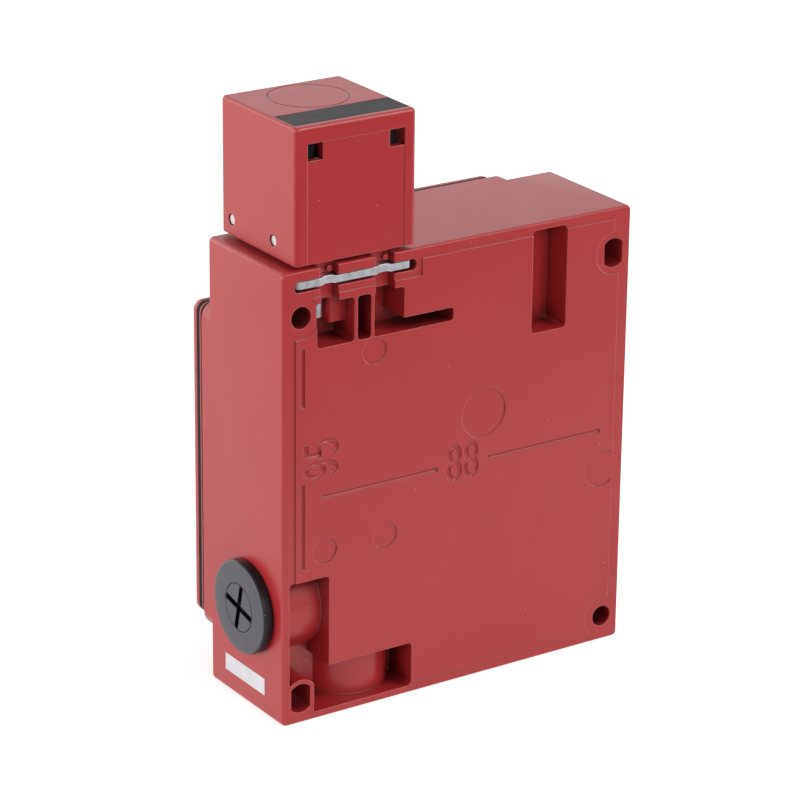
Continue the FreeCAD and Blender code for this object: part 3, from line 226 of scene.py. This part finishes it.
def redEnamel(name, specks=0.10, lines=0.16):
    # sprayed enamel on zinc: orange peel, a painted highlight along the edges, painted shade in the pockets, a few
    # dust specks and hairline scuffs
    e = enamel
    paint = Paint(name, IOR=1.5)
    soft = paint.soften(e["edge"])
    flat = paint.node("ShaderNodeNewGeometry", output="Normal")
    turned = paint.node("ShaderNodeVectorMath", {"operation": "DOT_PRODUCT"}, {0: soft, 1: flat}, "Value")
    lean = 1.0 - turned
    cloud = paint.noise(e["cloud"], 3.0).ramp(0.35, 0.65)
    body = paint.blend(cloud * e["cloudShare"], e["color"], e["deep"])
    clear = paint.openness(e["reach"])
    # painted highlight: lighter colour where the rounded shading normal leans off the flat one, on open edges
    thin = lean.ramp(*e["thinLean"]) * clear.ramp(*e["thinOpen"]) * e["thinShare"]
    withPaintedLight = paint.blend(thin, body, e["thin"])
    pocket = 1.0 - clear.ramp(*e["pocket"])
    withPaintedLight = paint.blend(pocket * e["pocketShare"], withPaintedLight, e["shade"])  # painted shade: nearly black where the piece's own walls close in
    fine = paint.specks(*e["fine"], specks)
    coarse = paint.specks(*e["coarse"], specks)
    scuff = paint.hairlines(*e["scuff"], lines)
    marks = fine * 0.5 + coarse * 0.8 + scuff * 0.20
    paint.color(paint.blend(marks, withPaintedLight, e["chip"]))
    paint.rough(e["rough"] + paint.noise(160.0, 2.0) * e["roughSpread"])
    peel = paint.noise(e["peelScale"], 2.0, rough=0.6) * 0.6 + paint.noise(e["finePeelScale"], 1.0) * 0.4
    grain = paint.noise(e["gritScale"], 3.0, rough=0.7) * pocket.ramp(0.05, 0.5)  # dry overspray inside the pockets
    paint.bump(peel + fine * 0.6 + grain * (e["grit"] / e["peel"]), e["peel"], 0.7, soft)
    return paint.material


# grain is the scale of the moulded texture, depth its height
plastics = {
    "blackMoulding": dict(
        color=(0.006, 0.006, 0.008), pale=(0.012, 0.011, 0.014),
        shine=0.26, rough=0.30, grain=2200.0, depth=0.010 * mm),
    "blackStrip": dict(
        color=(0.012, 0.012, 0.015), pale=(0.018, 0.018, 0.022),
        shine=0.16, rough=0.42, grain=1800.0, depth=0.006 * mm),
    "blackRubber": dict(
        color=(0.007, 0.006, 0.007), pale=(0.018, 0.016, 0.017),
        shine=0.10, rough=0.55, grain=1500.0, depth=0.015 * mm),
    "whiteNylon": dict(
        color=(0.66, 0.64, 0.58), pale=(0.74, 0.72, 0.67),
        shine=0.5, rough=0.42, grain=1200.0, depth=0.008 * mm),
    "circuitBoard": dict(
        color=(0.012, 0.090, 0.030), pale=(0.020, 0.140, 0.050),
        shine=0.5, rough=0.35, grain=700.0, depth=0.006 * mm),
    "greyFilm": dict(
        color=(0.50, 0.51, 0.53), pale=(0.52, 0.53, 0.55),
        shine=0.4, rough=0.32, grain=900.0, depth=0.003 * mm),
    "whitePaper": dict(
        color=(0.66, 0.655, 0.68), pale=(0.73, 0.72, 0.74),
        shine=0.2, rough=0.55, grain=1900.0, depth=0.004 * mm),
}
# dust specks, and the colour of the painted sheen on a face
dustAndSheen = {"speck": (1.6 * mm, 0.15 * mm), "color": (0.55, 0.53, 0.52), "paintedSheen": (0.082, 0.080, 0.095)}


def plastic(name, specks=0.10, sheenFrom=None):
    # a moulded or printed skin; the last argument is the X beyond which a face carries a pale layer, a painted sheen
    # standing in for the reflection on that face
    p = plastics[name]
    paint = Paint(name, IOR=1.48, Specular_IOR_Level=p["shine"])
    cloud = paint.noise(p["grain"] * 0.12, 3.0).ramp(0.35, 0.68)
    spots = paint.specks(*dustAndSheen["speck"], specks)
    tone = paint.blend(cloud, p["color"], p["pale"])
    if sheenFrom is not None:
        # painted sheen: the outer face is lightened as if reflecting light, with streaks of noise and scuff lines
        streaks = 0.80 + paint.noise(700.0, 3.0) * 0.25 + paint.hairlines(420.0, 0.012, 0.5) * 0.3
        paintedSheen = (paint.axis("X") > sheenFrom) * streaks
        tone = paint.blend(paintedSheen.ramp(0.0, 1.0), tone, dustAndSheen["paintedSheen"])
    paint.color(paint.blend(spots * 0.45, tone, dustAndSheen["color"]))
    paint.rough(p["rough"] + cloud * 0.08)
    paint.bump(paint.noise(p["grain"], 2.0), p["depth"], 0.6, paint.soften(0.15 * mm))
    return paint.material


# drag packs the wear pattern closer along the axes with the larger values, so its lines run along the rest
metals = {
    "zincPlate": dict(color=(0.74, 0.76, 0.81), stain=(0.34, 0.35, 0.40), rough=0.28, drag=(6.0, 1.0, 1.0)),
    "pinSteel": dict(color=(0.66, 0.60, 0.60), stain=(0.38, 0.34, 0.34), rough=0.28, drag=(1.0, 6.0, 6.0)),
    "darkSteel": dict(color=(0.22, 0.22, 0.23), stain=(0.12, 0.12, 0.12), rough=0.34, drag=(1.0, 1.0, 9.0)),
    "bareZinc": dict(color=(0.50, 0.50, 0.52), stain=(0.36, 0.36, 0.38), rough=0.40, drag=(1.0, 1.0, 1.0)),
    "brightBrass": dict(color=(0.48, 0.33, 0.12), stain=(0.34, 0.22, 0.07), rough=0.34, drag=(1.0, 5.0, 1.0)),
    "chromePlate": dict(color=(0.50, 0.51, 0.53), stain=(0.38, 0.39, 0.41), rough=0.16, drag=(1.0, 1.0, 3.0)),
}
wear = {
    "nick": (1.5 * mm, 0.16 * mm, 0.30), "nickColor": (0.10, 0.10, 0.11),
    "reach": 2.0 * mm, "recessShadeColor": (0.05, 0.045, 0.045), "dragDepth": 0.008 * mm, "edge": 0.2 * mm,
}


def metal(name):
    # worn metal: a slow stain, drag lines along one axis, a few dark nicks, and painted shade where its own walls
    # close in
    m = metals[name]
    paint = Paint(name, Metallic=1.0)
    stain = paint.noise(420.0, 4.0).ramp(0.42, 0.72)
    drag = paint.noise(1300.0, 3.0, m["drag"], 0.65)
    nicks = paint.specks(*wear["nick"]) * 0.8 + (drag > 0.66) * 0.35
    tone = paint.blend(stain * 0.6, m["color"], m["stain"])
    # painted shade: the colour darkens where the piece's own walls stand close
    recessShade = (1.0 - paint.openness(wear["reach"]).ramp(0.1, 0.8)) * 0.75
    shadedTone = paint.blend(recessShade, tone, wear["recessShadeColor"])
    paint.color(paint.blend(nicks.ramp(0.0, 1.0) * 0.7, shadedTone, wear["nickColor"]))
    paint.rough(m["rough"] + drag * 0.14)
    paint.bump(drag, wear["dragDepth"], 0.6, paint.soften(wear["edge"]))
    return paint.material


def lens(name, color, glow):
    # tinted moulding whose colour drifts slowly towards a lighter one
    paint = Paint(name, IOR=1.49, Roughness=0.12)
    ripple = paint.noise(600.0, 1.0)
    paint.color(paint.blend(ripple.ramp(0.3, 0.7), color, glow))
    paint.rough(0.10 + ripple * 0.06)
    paint.bump(ripple, 0.01 * mm, 0.3)
    return paint.material


def coilTape():
    # wrapped insulating tape, its turns showing as low ridges along Z
    paint = Paint("coilTape", IOR=1.46)
    turns = paint.node("ShaderNodeTexWave", {"bands_direction": "Z"}, {"Vector": paint.place(), "Scale": 260.0})
    cloud = paint.noise(220.0, 3.0)
    paint.color(paint.blend(turns * 0.5 + cloud * 0.3, (0.55, 0.28, 0.04), (0.68, 0.40, 0.09)))
    paint.rough(0.42 + cloud * 0.12)
    paint.bump(turns, 0.05 * mm, 0.6)
    return paint.material


finishes = {
    "red_paint": redEnamel("redEnamel"),
    "black_plastic": plastic("blackMoulding", 0.20),
    "black_rubber": plastic("blackRubber", 0.35),
    "plated_steel": metal("zincPlate"),
    "dark_steel": metal("darkSteel"),
    "zinc_casting": metal("bareZinc"),
    "brass": metal("brightBrass"),
    "copper_winding": coilTape(),
    "white_nylon": plastic("whiteNylon", 0.0),
    "chrome": metal("chromePlate"),
    "white_label": plastic("whitePaper", 0.0),
    "grey_label": plastic("greyFilm", 0.0),
    "amber_lens": lens("amberLens", (0.80, 0.26, 0.02), (0.95, 0.42, 0.06)),
    "green_lens": lens("greenLens", (0.02, 0.36, 0.07), (0.06, 0.55, 0.14)),
    "board": plastic("circuitBoard", 0.0),
}
ownFinishes = {"head_pins": metal("pinSteel"), "head_slot_plug": plastic("blackStrip", 0.0)}
# the plug's outer face, just past its edge, carries the painted sheen
lidFinish = plastic("blackMoulding", 0.22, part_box("entry_plug")[1][0] - 0.12 * mm)
for part in frame["record"]["subparts"]:
    finish = ownFinishes.get(part["node"], finishes[part["material_slot"]])
    for holder in nodes[part["node"]].material_slots:
        holder.material = finish
print("finishes on all nodes")


def surface(name, points, closedU=False, closedV=False, capU=False):
    # grid of points (rows, columns, 3) as quads; closedU and closedV join last to first along rows and
    # columns, and capU closes the first and the last row with one face each
    rows, columns = points.shape[:2]
    index = np.arange(rows * columns).reshape(rows, columns)
    u = np.arange(rows if closedU else rows - 1)
    v = np.arange(columns if closedV else columns - 1)
    uu, vv = np.meshgrid(u, v, indexing="ij")
    nu, nv = (uu + 1) % rows, (vv + 1) % columns
    quads = np.stack([index[uu, vv], index[nu, vv], index[nu, nv], index[uu, nv]], axis=-1).reshape(-1, 4)
    faces = quads.tolist()
    if capU:
        faces += [index[0].tolist(), index[-1][::-1].tolist()]
    mesh = bpy.data.meshes.new(name)
    mesh.from_pydata(points.reshape(-1, 3).tolist(), [], faces)
    work = bmesh.new()
    work.from_mesh(mesh)
    bmesh.ops.recalc_face_normals(work, faces=work.faces)
    work.to_mesh(mesh)
    work.free()
    piece = bpy.data.objects.new(name, mesh)
    bpy.context.scene.collection.objects.link(piece)
    return piece


def smoothBelow(mesh, degrees):
    # smooth shading; an edge stays hard where its two faces turn by the given angle or more
    work = bmesh.new()
    work.from_mesh(mesh)
    limit = math.radians(degrees)
    for face in work.faces:
        face.smooth = True
    for edge in work.edges:
        edge.smooth = len(edge.link_faces) == 2 and edge.calc_face_angle(4.0) < limit
    work.to_mesh(mesh)
    work.free()


def cutAway(piece, tools):
    # takes each tool's shape out of the piece, one after the other
    for tool in tools:
        cut = piece.modifiers.new("cut", "BOOLEAN")
        cut.operation, cut.object, cut.solver = "DIFFERENCE", tool, "EXACT"
        bpy.context.view_layer.update()
        deps = bpy.context.evaluated_depsgraph_get()
        result = bpy.data.meshes.new_from_object(piece.evaluated_get(deps))
        piece.modifiers.remove(cut)
        piece.data = result
        bpy.data.objects.remove(tool)


# the moulded numbers and datum lines of the casting, in millimetres
numerals = {
    "half": 0.68, "lift": 0.12,  # half the width of a stroke, and how far outside the face its axis runs
    "sides": 20, "steps": 36,
    "width": 4.6, "height": 9.6,
    "eights": ((1.45, 3.2), (-3.35, 3.2)),
    "nine": (38.7, 9.6), "five": (38.7, 14.8),
    # shares of a digit's half height and half width: the 8's loops, the 9's loop and tail, the 5's strokes
    "lowLoop": 0.53, "highLoop": 0.47, "highWidth": 0.88,
    "nineLoop": 0.58, "nineSide": 0.42, "tailDrop": 0.15, "tailLoop": 0.85, "tailTurn": (0, -140, 18),
    "bowl": 0.60, "bowlTurn": (128, -150, 26), "stemTop": 0.80, "stemFoot": 0.90, "stemPast": 0.25,
    "flagRight": 0.85, "flagLeft": 0.95, "strokeSteps": 4, "crease": 28,
}
datum = {
    "half": 0.56, "lift": 0.03, "inset": 0.35,
    "lines": (
        ((43.7, 25.8), (43.7, 40.1)),
        ((43.7, -14.5), (43.7, 6.8)),
        ((6.1, 2.6), (38.5, 2.6)),
        ((-41.5, 2.6), (-8.1, 2.6)),
    ),
}


def arc(cx, cz, rx, rz, start, end, count):
    # points of an ellipse's arc, angles in degrees from +X towards +Z
    t = np.radians(np.linspace(start, end, count))
    return np.stack([cx + rx * np.cos(t), cz + rz * np.sin(t)], axis=1)


def groove(name, line, size, closed):
    # round-bottomed groove tool: a circle carried along a line in the mounting face, at right angles to
    # the way from the point before to the point after
    line = np.asarray(line) * mm
    if closed:
        line = line[:-1]
        ahead, behind = np.roll(line, -1, axis=0), np.roll(line, 1, axis=0)
    else:
        ahead, behind = np.vstack([line[1:], line[-1:]]), np.vstack([line[:1], line[:-1]])
    way = ahead - behind
    way /= np.linalg.norm(way, axis=1, keepdims=True)
    side = np.stack([-way[:, 1], way[:, 0]], axis=1)
    t = np.linspace(0, 2 * np.pi, numerals["sides"], endpoint=False)
    across = size["half"] * mm * np.cos(t)[None, :]
    x = line[:, None, 0] + across * side[:, None, 0]
    z = line[:, None, 1] + across * side[:, None, 1]
    y = np.broadcast_to(size["lift"] * mm + size["half"] * mm * np.sin(t)[None, :], x.shape)
    return surface(name, np.stack([x, y, z], axis=-1), closedU=closed, closedV=True, capU=not closed)


def numeralLines():
    # each digit as flat centre lines, x growing to the reader's right, z up, from the digit's centre:
    # ellipses for the loops, part ellipses for the 9's tail and the 5's bowl, straight lines for the rest
    p = numerals
    w, h, n = p["width"] / 2 - p["half"], p["height"] / 2 - p["half"], p["steps"]
    low, high, loop = p["lowLoop"] * h, p["highLoop"] * h, p["nineLoop"] * h
    lower, upper = arc(0, -h + low, w, low, 0, 360, n), arc(0, h - high, p["highWidth"] * w, high, 0, 360, n)
    eight = [(lower, True), (upper, True)]
    tail = arc(0, -p["tailDrop"] * h, w, p["tailLoop"] * h, *p["tailTurn"])
    nine = [(arc(0, h - loop, w, loop, 0, 360, n), True), (np.vstack([[[w, p["nineSide"] * h]], tail]), False)]
    bowl = arc(0, -h + p["bowl"] * h, w, p["bowl"] * h, *p["bowlTurn"])
    foot = bowl[0, 1] - p["stemPast"]  # past the start of the bowl, so that the two strokes meet
    stem = np.linspace([-w * p["stemTop"], h], [-w * p["stemFoot"], foot], p["strokeSteps"])
    flag = np.linspace([w * p["flagRight"], h], [-w * p["flagLeft"], h], p["strokeSteps"])
    five = [(flag, False), (stem, False), (bowl, False)]
    return eight, nine, five


def cutNumerals(casting):
    # the 8s stand upright, mirrored in X because the face looks along +Y; the 9 and the 5 lie on their side
    eight, nine, five = numeralLines()
    left, right = numerals["eights"]
    upright = ((left, eight, False), (right, eight, False))
    lying = ((numerals["nine"], nine, True), (numerals["five"], five, True))
    tools = []
    for (cx, cz), digit, turned in upright + lying:
        for line, closed in digit:
            across, up = line[:, 0], line[:, 1]
            if turned:
                place = np.stack([cx + up, cz + across], axis=1)
            else:
                place = np.stack([cx - across, cz + up], axis=1)
            tools.append(groove("tool", place, numerals, closed))
    for start, end in datum["lines"]:
        start, end = np.array(start), np.array(end)
        step = datum["inset"] * (end - start) / np.linalg.norm(end - start)
        tools.append(groove("tool", np.linspace(start + step, end - step, numerals["strokeSteps"]), datum, False))
    cutAway(casting, tools)


casting = bpy.data.objects.new("casting", nodes["housing"].data.copy())
bpy.context.scene.collection.objects.link(casting)
work = bmesh.new()
work.from_mesh(casting.data)
bmesh.ops.remove_doubles(work, verts=work.verts, dist=1e-6)
work.to_mesh(casting.data)
work.free()
cutNumerals(casting)
smoothBelow(casting.data, numerals["crease"])
casting.data.materials.clear()
casting.data.materials.append(finishes["red_paint"])
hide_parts("housing")
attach(casting, "case")
print("casting with numbers:", len(casting.data.polygons), "faces")


# blanking plug of the side entry, in millimetres and degrees
lid = {
    "radius": 11.5, "thick": 2.2, "edge": 0.7, "shank": 9.15, "bore": 7.2, "reach": 11.0, "floor": 0.4,
    "ring": (6.1, 6.02, 5.90, 5.82), "ringDepth": 0.28, "sides": 96,
    "axis": 0.05, "past": 1.0,  # radius that the end caps close, and how far the driver slot's tool stands out
    "armLength": 5.75, "armWidth": 0.80, "armDepth": 1.5, "armTurn": -12.3, "crease": 35,
}


def blankingPlug():
    # a profile of (x, radius) turned about the entry's axis, less a cross-shaped driver slot
    p = lid
    low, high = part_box("entry_plug")
    face = high[0] / mm
    cy, cz = (low[1] + high[1]) / 2 / mm, (low[2] + high[2]) / 2 / mm
    base = face - p["thick"]
    bend = np.radians(np.linspace(0, 90, 7))
    rimFace, rimRadius = face - p["edge"], p["radius"] - p["edge"]
    rim = np.stack([rimFace + p["edge"] * np.sin(bend), rimRadius + p["edge"] * np.cos(bend)], axis=1)
    r = p["ring"]
    dip = face - p["ringDepth"]
    profile = np.vstack([
        [[base - p["floor"], p["axis"]], [base - p["floor"], p["bore"]], [base - p["reach"], p["bore"]]],
        [[base - p["reach"], p["shank"]], [base, p["shank"]], [base, p["radius"]]], rim,
        [[face, r[0]], [dip, r[1]], [dip, r[2]], [face, r[3]], [face, p["axis"]]],
    ]) * mm
    t = np.linspace(0, 2 * np.pi, p["sides"], endpoint=False)
    x = np.broadcast_to(profile[:, :1], (len(profile), len(t)))
    y = cy * mm + profile[:, 1:] * np.cos(t)[None, :]
    z = cz * mm + profile[:, 1:] * np.sin(t)[None, :]
    plug = surface("blankingPlug", np.stack([x, y, z], axis=-1), closedV=True, capU=True)
    tools = []
    corner = np.array([1, 1, -1, -1])
    for turned in (0, 90):
        angle = math.radians(p["armTurn"] + turned)
        along = p["armLength"] * corner
        across = p["armWidth"] * np.array([1, -1, -1, 1])
        ay = cy + along * math.cos(angle) - across * math.sin(angle)
        az = cz + along * math.sin(angle) + across * math.cos(angle)
        depth = np.array([face - p["armDepth"], face + p["past"]])[:, None]
        x = np.broadcast_to(depth, (2, 4))
        grid = np.stack([x, np.broadcast_to(ay, (2, 4)), np.broadcast_to(az, (2, 4))], axis=-1) * mm
        tools.append(surface("tool", grid, closedV=True, capU=True))
    cutAway(plug, tools)
    smoothBelow(plug.data, lid["crease"])
    plug.data.materials.clear()
    plug.data.materials.append(lidFinish)
    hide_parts("entry_plug")
    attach(plug, "case")
    return plug


blankingPlug()
print("blanking plug made")


# thread of the bottom cable entry
entry = {"pitch": 1.5 * mm, "turns": 9, "radius": 9.27 * mm, "height": 0.42 * mm, "steps": 72, "inset": 0.9 * mm}


def entryThread():
    # a rounded ridge wound round the bore's wall: profile across, helix along
    mount = next(m for m in frame["record"]["mounts"] if m["name"] == "bottom_cable_entry")
    x0, y0, z0 = mount["pos_m"]
    e = entry
    count = e["turns"] * e["steps"] + 1
    t = np.linspace(0, 2 * np.pi * e["turns"], count)
    grow = np.clip(np.minimum(t, t[-1] - t) / 1.2, 0.02, 1.0)
    profile = np.linspace(0, 2 * np.pi, 8, endpoint=False)
    inward = e["radius"] - 0.5 * e["height"] * (1 + np.cos(profile))[None, :] * grow[:, None]
    rise = 0.30 * e["pitch"] * np.sin(profile)[None, :] * grow[:, None]
    z = z0 + e["inset"] + e["pitch"] * t[:, None] / (2 * np.pi) + rise
    x = x0 + inward * np.cos(t)[:, None]
    y = y0 + inward * np.sin(t)[:, None]
    piece = surface("entryThread", np.stack([x, y, z], axis=-1), closedV=True, capU=True)
    smoothBelow(piece.data, roundCrease)
    piece.data.materials.append(finishes["zinc_casting"])
    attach(piece, "case")
    return piece


entryThread()
print("entry thread made")


# springs wound as real coils; a coil with a named joint gets a mesh of its own
coils = {
    "armatureCoil": dict(node="armature_spring", wire=0.4 * mm, turns=4.0, dead=0.8, joint="armature_pull"),
    "plungerCoil": dict(node="plunger_spring", wire=0.3 * mm, turns=2.0, dead=0.4, joint=None),
}


def coilSpring(name):
    # round wire along a helix whose rise is slow over the dead turns at both ends
    c = coils[name]
    low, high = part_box(c["node"])
    cx, cy = (low[0] + high[0]) / 2, (low[1] + high[1]) / 2
    radius = (high[0] - low[0]) / 2 - c["wire"]
    turns = c["turns"] + c["dead"]
    u = np.linspace(0, 1, int(turns * 40) + 1)
    ease = np.clip(np.minimum(u, 1 - u) * turns / c["dead"], 0, 1)
    rise = np.cumsum(0.25 + 0.75 * ease)
    rise = (rise - rise[0]) / (rise[-1] - rise[0])
    t = 2 * np.pi * turns * u
    z = low[2] + c["wire"] + (high[2] - low[2] - 2 * c["wire"]) * rise
    ring = np.linspace(0, 2 * np.pi, 10, endpoint=False)
    out = radius + c["wire"] * np.cos(ring)[None, :]
    x = cx + out * np.cos(t)[:, None]
    y = cy + out * np.sin(t)[:, None]
    z = z[:, None] + c["wire"] * np.sin(ring)[None, :]
    coil = surface(name, np.stack([x, y, z], axis=-1), closedV=True, capU=True)
    smoothBelow(coil.data, roundCrease)
    coil.data.materials.append(finishes["plated_steel"])
    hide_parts(c["node"])
    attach(coil, "case")
    if c["joint"]:
        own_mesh(coil)
    return coil


for name in coils:
    coilSpring(name)
print("springs wound")


white = (1.0, 1.0, 1.0)
studio = {
    "camera": (0.4443, 0.6367, 0.3156), "look": (-0.52043, -0.77561, -0.35722), "right": (-0.83262, 0.55374, 0.01076),
    "lens": 159.04, "sensor": 36.0, "clip": (0.01, 50.0),
    "ambient": 0.28, "lampAim": (0.0, -0.02, 0.02), "floorHalf": 6.0,
    "paper": 0.60, "paperColor": (0.80, 0.80, 0.80), "roomColor": (0.06, 0.06, 0.06),
    "near": 0.08, "far": 0.26, "lean": 0.35,
}
lamps = (
    # name, place, size, power
    ("keyLamp", (1.30, -0.30, 0.14), 0.9, 15.5),
    ("fillLamp", (0.20, 1.45, 0.36), 1.3, 10.0),
    ("edgeLamp", (-0.525, 0.67, 0.914), 0.6, 5.6),
    ("frontLamp", (0.40, -1.40, 0.20), 1.2, 9.0),
    ("farLamp", (-1.40, 0.20, 0.22), 1.0, 7.0),
)


def backdrop(name):
    # pale paper to the camera and to clear parts, and to gloss near the object; further out gloss meets a
    # dark room, by how far the spot lies along Y, leaned a little towards X
    p = studio
    paint = Paint(name)
    paint.tree.nodes.remove(paint.shader)
    gloss = paint.ray("Glossy")
    seen = (paint.ray("Camera") + paint.ray("Transmission")).ramp(0.0, 1.0)
    away = (paint.axis("Y") + paint.axis("X") * p["lean"]).ramp(p["near"], p["far"]) * gloss
    shade = paint.blend(away, p["paperColor"], p["roomColor"])
    lit = paint.node("ShaderNodeBsdfDiffuse", {}, {"Color": shade})
    strength = (seen + gloss * (1.0 - away)) * p["paper"]
    glow = paint.node("ShaderNodeEmission", {}, {"Color": white, "Strength": strength})
    both = paint.node("ShaderNodeAddShader", {}, {0: lit, 1: glow})
    paint.feed(paint.output.inputs["Surface"], both)
    return paint.material


half, level = studio["floorHalf"], cadBox[0][2]
corners = [(-half, -half, level), (half, -half, level), (half, half, level), (-half, half, level)]
floorMesh = bpy.data.meshes.new("floor")
floorMesh.from_pydata(corners, [], [(0, 1, 2, 3)])
floor = bpy.data.objects.new("floor", floorMesh)
bpy.context.scene.collection.objects.link(floor)
floorMesh.materials.append(backdrop("floorPaper"))

# a dim world lights the object, and a white one stands behind it
world = bpy.data.worlds.new("studio")
bpy.context.scene.world = world
world.use_nodes = True
sky = Tree(world.node_tree)
shown = (sky.ray("Camera") + sky.ray("Glossy") + sky.ray("Transmission")).ramp(0.0, 1.0)
dim = sky.node("ShaderNodeBackground", {}, {"Color": white, "Strength": studio["ambient"]})
behind = sky.node("ShaderNodeBackground", {}, {"Color": white, "Strength": 1.0})
mixed = sky.node("ShaderNodeMixShader", {}, {0: shown, 1: dim, 2: behind})
skyOutput = sky.tree.nodes.new("ShaderNodeOutputWorld")
sky.feed(skyOutput.inputs["Surface"], mixed)

for name, place, size, power in lamps:
    light = bpy.data.lights.new(name, "AREA")
    light.shape, light.size, light.energy = "SQUARE", size, power
    lamp = bpy.data.objects.new(name, light)
    bpy.context.scene.collection.objects.link(lamp)
    lamp.location = place
    lamp.visible_camera = False
    lamp.rotation_euler = (Vector(studio["lampAim"]) - Vector(place)).to_track_quat("-Z", "Y").to_euler()

right, look = Vector(studio["right"]).normalized(), Vector(studio["look"]).normalized()
turn = Matrix((right, (-look).cross(right), -look)).transposed()
view = bpy.data.cameras.new("camera")
view.lens, view.sensor_width = studio["lens"], studio["sensor"]
view.clip_start, view.clip_end = studio["clip"]
camera = bpy.data.objects.new("camera", view)
bpy.context.scene.collection.objects.link(camera)
camera.matrix_world = Matrix.Translation(studio["camera"]) @ turn.to_4x4()
bpy.context.scene.camera = camera
bpy.context.scene.view_settings.view_transform = "Standard"
print("studio set")
